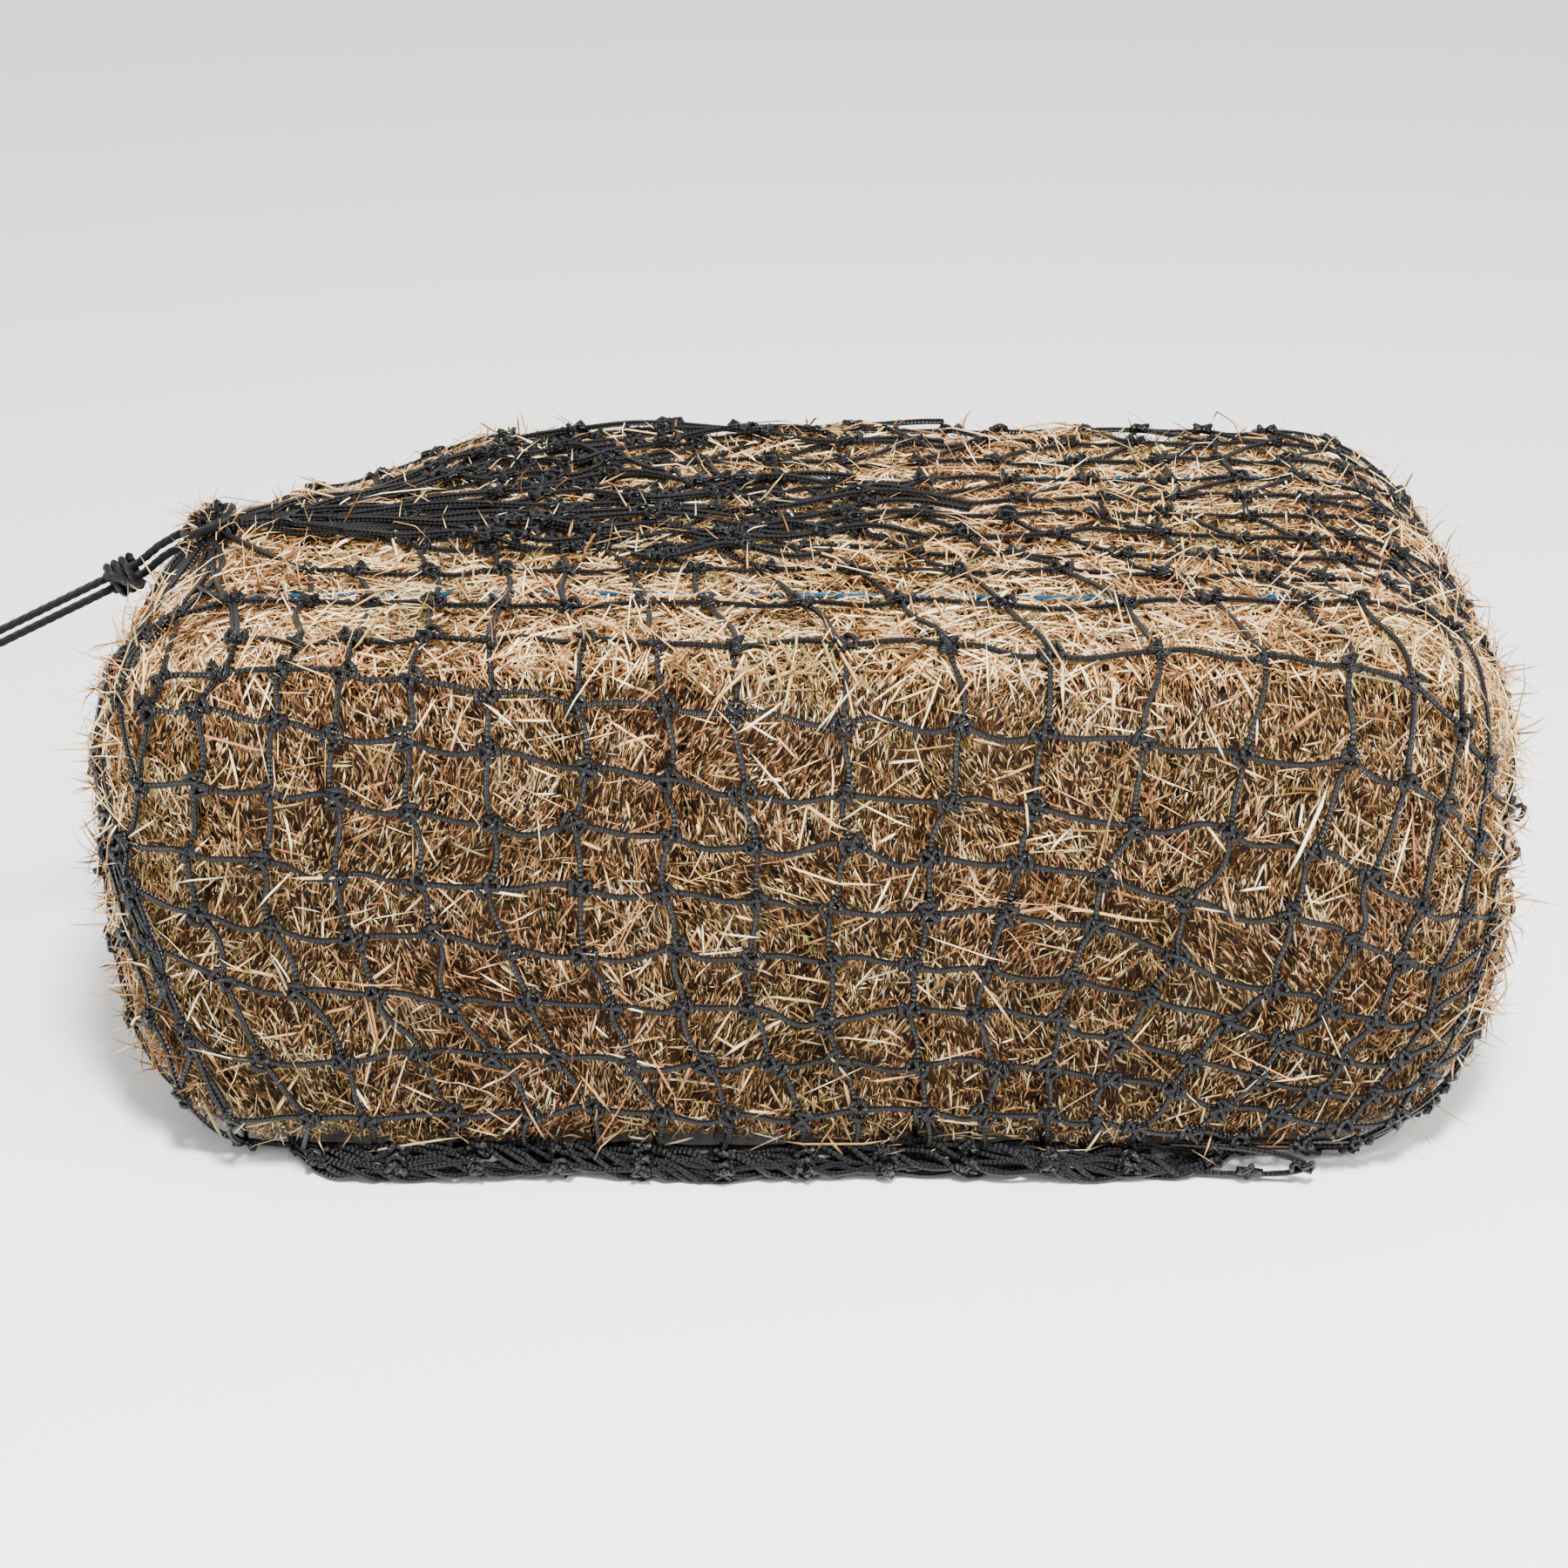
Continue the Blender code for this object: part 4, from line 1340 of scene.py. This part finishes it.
@dataclass
class BalingString:
    """The two plastic strings that tie the bale, laid of two strands each."""

    # The second colour is the painted highlight on the fibres' ridges.
    finish: CordFinish = CordFinish(
        "bale_string", (0.006, 0.075, 0.190, 1.0), (0.015, 0.150, 0.300, 1.0), 0.38
    )
    radius: float = 0.0016
    offset: float = 0.110
    knot_height: float = 0.00865

    def route(self, y: float) -> np.ndarray:
        """The string's line: a rounded rectangle in X and Z, swaying a little sideways.

        Args:
            y: The string's place across the bale.

        Returns:
            The line's points.
        """
        lift = self.radius
        half, radius = FORM.height / 2.0 + lift, FORM.end + lift
        turn = np.linspace(-math.pi / 2.0, 0.0, 16)
        corners = []
        for number, (side_x, side_z) in enumerate(((1, -1), (1, 1), (-1, 1), (-1, -1))):
            bend = turn + number * math.pi / 2.0
            x = side_x * FORM.straight + radius * np.cos(bend)
            z = side_z * (FORM.height / 2.0 - FORM.end) + radius * np.sin(bend)
            corners.append(np.stack([x, z], axis=1))
        flat = np.concatenate([[[0.004, -half]], *corners, [[-0.004, -half]]])
        line = np.stack([flat[:, 0], np.full(len(flat), y), flat[:, 1] + FORM.middle], axis=1)
        line = resample(line, 0.006)
        line[:, 1] = y + 0.004 * np.sin(line[:, 0] * 9.0 + y * 30.0)
        slip = FORM.core[0] - FORM.inset(line[:, 0], lift)
        line[:, 1] = np.sign(y) * np.minimum(np.abs(line[:, 1]), slip)
        return line

    def build(self) -> list:
        """Makes both strings and their knots.

        Returns:
            Their objects.
        """
        material = self.finish.material()
        made = []
        for place, y in (("front", -self.offset), ("rear", self.offset)):
            line = self.route(y)
            piece = Piece(f"string_{place}")
            middle = np.array([0.0, y, FORM.middle])
            rope(piece, line, unit(line - middle), self.radius, 0.011, 2)
            knot = Piece(f"string_knot_{place}_wraps")
            turn = np.linspace(0.0, 6.0 * math.pi, 60)
            across = 0.0030 * np.cos(turn)
            along = np.linspace(-0.0048, 0.0048, 60)
            up = 0.0012 * np.sin(turn)
            wraps = np.stack([along, y + across, self.knot_height + up], axis=1)
            normals = unit(wraps - [0.0, y, self.knot_height]) + [1e-3, 0, 0]
            rope(knot, wraps, normals, 0.0009, 0.011, 2)
            for each, node in ((piece, f"baling_string_{place}"), (knot, f"string_knot_{place}")):
                made.append(fit(each.build(material), ROOT_BODY, node))
        return made


@dataclass
class DrawCord:
    """The drawcord: noose, two tails, the knot that slides on them and the knot at their end."""

    finish: CordFinish = CordFinish()
    radius: float = 0.0030
    spacing: float = 0.0080
    tail: float = 0.165
    knot_length: float = 0.026
    noose_lift: float = 0.01295
    noose_radius: float = 0.0183
    tail_start: float = 0.0212

    @staticmethod
    def direction() -> np.ndarray:
        """The way the tails run from the draw knot."""
        return unit(np.array([-0.860, -0.250, -0.360]))

    @staticmethod
    def side() -> np.ndarray:
        """The way from the lower tail to the upper one."""
        return unit(np.cross(DrawCord.direction(), [0.0, -1.0, 0.0]))

    @staticmethod
    def knot_place() -> np.ndarray:
        """The draw knot's middle: 32 mm out from the bale, 55.5 degrees round its end."""
        turn = math.radians(55.5)
        radius = FORM.end + 0.0101 + 0.02195
        up = FORM.middle + FORM.height / 2.0 - FORM.end
        return np.array([-FORM.straight - radius * math.sin(turn), 0.0, up + radius * math.cos(turn)])

    def noose_frame(self) -> tuple[np.ndarray, np.ndarray]:
        """The noose's middle and its outward axis."""
        place, outward, _ = mouth_frame()
        return place + outward * self.noose_lift, outward

    def tail_route(self, side: float) -> np.ndarray:
        """A tail's line: it bows from the noose to the draw knot, then runs straight.

        Args:
            side: 1 for the upper tail and -1 for the lower.

        Returns:
            The line's points, about a millimetre apart.
        """
        middle, outward = self.noose_frame()
        place, way = self.knot_place(), self.direction()
        offset = self.side() * (side * self.spacing / 2.0)
        straight_from = place - way * (self.knot_length / 2.0)
        away = unit(straight_from - middle)
        start = middle + away * self.tail_start
        bend = (start + straight_from) / 2.0 + outward * 0.0015
        line = np.stack([start, bend, straight_from, place + way * self.tail]) + offset
        return resample(line, 0.0011)

    def tails(self, material: bpy.types.Material) -> list:
        """Args:
            material: The cord's finish.

        Returns:
            Their objects.
        """
        made = []
        for name, side in (("upper", 1.0), ("lower", -1.0)):
            line = self.tail_route(side)
            piece = Piece(f"cord_tail_{name}")
            normals = np.broadcast_to(self.side(), line.shape)
            rope(piece, line, normals, self.radius, 0.021 * side)
            obj = fit(piece.build(material), ROOT_BODY, f"drawcord_{name}")
            made.append(obj)
        return made

    def noose(self, material: bpy.types.Material) -> bpy.types.Object:
        """The noose: the laid cord once round the neck.

        Args:
            material: The cord's finish.

        Returns:
            The noose's object.
        """
        middle, outward = self.noose_frame()
        beside = np.cross([0.0, 1.0, 0.0], outward)
        turn = np.linspace(0.0, 2.0 * math.pi, 121) + math.pi / 2.0
        round_it = np.cos(turn)[:, None] * beside + np.sin(turn)[:, None] * [0, 1, 0]
        line = middle + self.noose_radius * round_it
        piece = Piece("cord_noose")
        rope(piece, line, unit(line - middle), self.radius, 0.021)
        return fit(piece.build(material), ROOT_BODY, "drawcord_noose")

    def sliding_knot(self, material: bpy.types.Material) -> bpy.types.Object:
        """The draw knot: the cord wound round both tails, with one turn crossed over the rest.

        The winding is an oval helix: the cosine of the turn along the cord's side, its sine
        across, and an even way along.

        Args:
            material: The cord's finish.

        Returns:
            The knot's object.
        """
        place, way, side = self.knot_place(), self.direction(), self.side()
        across = np.cross(way, side)
        piece = Piece("draw_knot_wraps")
        turn = np.linspace(0.0, 2.0 * math.pi * 3.4, 190)
        along = np.linspace(-0.0096, 0.0096, 190)
        line = place + way * along[:, None] + side * (0.0107 * np.cos(turn))[:, None]
        line = line + across * (0.0069 * np.sin(turn))[:, None]
        rope(piece, line, unit(line - place - way * along[:, None]), 0.0030, 0.019)
        part = np.linspace(-1.0, 1.0, 60)
        over = place + way * (0.0098 * part)[:, None] - across * (0.0122 - 0.006 * part**4)[:, None]
        over = over + side * (0.0075 * np.sin(part * 1.9))[:, None]
        rope(piece, over, unit(over - place), 0.0029, 0.019)
        return fit(piece.build(material), KNOT_BODY, "draw_knot")

    def end_knot(self, material: bpy.types.Material) -> bpy.types.Object:
        """The knot that joins the tails' ends: a cord wound over itself in a ball.

        The line circles while its axis turns: a circle of the knot's radius, tipped by the
        sine and cosine of half as many turns.

        Args:
            material: The cord's finish.

        Returns:
            The knot's object.
        """
        way = self.direction()
        side, across = self.side(), np.cross(way, self.side())
        middle = self.knot_place() + way * (self.tail + 0.0082)
        turn = np.linspace(0.0, 2.0 * math.pi, 150)
        reach = 0.0062 + 0.0021 * np.cos(3.0 * turn)
        line = middle + side * (reach * np.cos(2.0 * turn))[:, None]
        line = line + across * (reach * np.sin(2.0 * turn))[:, None]
        line = line + way * (0.0082 * np.sin(3.0 * turn))[:, None]
        piece = Piece("end_knot_wraps")
        rope(piece, line, unit(line - middle), 0.0029, 0.019)
        return fit(piece.build(material), ROOT_BODY, "end_knot")

    def build(self) -> list:
        """Makes every piece of the drawcord.

        Returns:
            Their objects.
        """
        material = self.finish.material()
        end_knot = self.end_knot(material)
        made = [end_knot, self.noose(material), self.sliding_knot(material)]
        return made + self.tails(material)


@dataclass(frozen=True)
class Studio:
    """Camera, pale floor and soft light."""

    distance: float = 2.1
    elevation: float = math.radians(25.7)
    lens: float = 68.7
    target: tuple = (0.0, 0.0, 0.19)
    shift: tuple = (-0.0139, -0.0094)

    def camera(self) -> None:
        """Puts the camera in front of the bale, looking down at it."""
        data = bpy.data.cameras.new("camera")
        data.lens, data.sensor_width = self.lens, 36.0
        data.shift_x, data.shift_y = self.shift
        data.clip_end = 50.0
        made = bpy.data.objects.new("camera", data)
        way = Vector((0.0, -math.cos(self.elevation), math.sin(self.elevation)))
        made.location = Vector(self.target) + way * self.distance
        made.rotation_euler = (-way).to_track_quat("-Z", "Y").to_euler()
        bpy.context.scene.collection.objects.link(made)
        bpy.context.scene.camera = made

    def floor(self) -> None:
        """Lays a wide pale floor."""
        mesh = bpy.data.meshes.new("floor")
        size = 12.0
        corners = [(-size, -size, 0.0), (size, -size, 0.0), (size, size, 0.0), (-size, size, 0.0)]
        mesh.from_pydata(corners, [], [(0, 1, 2, 3)])
        mesh.materials.append(FloorFinish().material())
        made = bpy.data.objects.new("studio_floor", mesh)
        bpy.context.scene.collection.objects.link(made)

    def lamp(self, name: str, place: tuple, size: float, power: float) -> None:
        """Hangs a soft square lamp that faces the bale.

        Args:
            name: The lamp's name.
            place: Where it hangs.
            size: Its side.
            power: Its power in watts.
        """
        data = bpy.data.lights.new(name, "AREA")
        data.size, data.energy = size, power
        made = bpy.data.objects.new(name, data)
        made.location = place
        made.rotation_euler = (Vector(self.target) - Vector(place)).to_track_quat("-Z", "Y").to_euler()
        bpy.context.scene.collection.objects.link(made)

    def light(self) -> None:
        """Lights the scene: a pale sky, a large lamp above the front, and a fill at the right."""
        world = bpy.data.worlds.new("studio_sky")
        world.use_nodes = True
        sky = world.node_tree.nodes["Background"]
        sky.inputs[0].default_value = (1.0, 1.0, 1.0, 1.0)
        sky.inputs[1].default_value = 1.25
        bpy.context.scene.world = world
        self.lamp("key", (0.2, -1.5, 2.8), 0.50, 290.0)
        self.lamp("fill", (2.0, -1.3, 2.0), 1.2, 50.0)

    def build(self) -> None:
        """Sets up the whole studio."""
        self.camera()
        self.floor()
        self.light()


def main() -> None:
    """Builds every piece."""
    logging.basicConfig(level=logging.INFO, format="%(name)s %(message)s")
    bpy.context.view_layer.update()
    Studio().build()
    Net().build()
    BalingString().build()
    DrawCord().build()
    Hay().build()


if __name__ == "__main__":
    main()
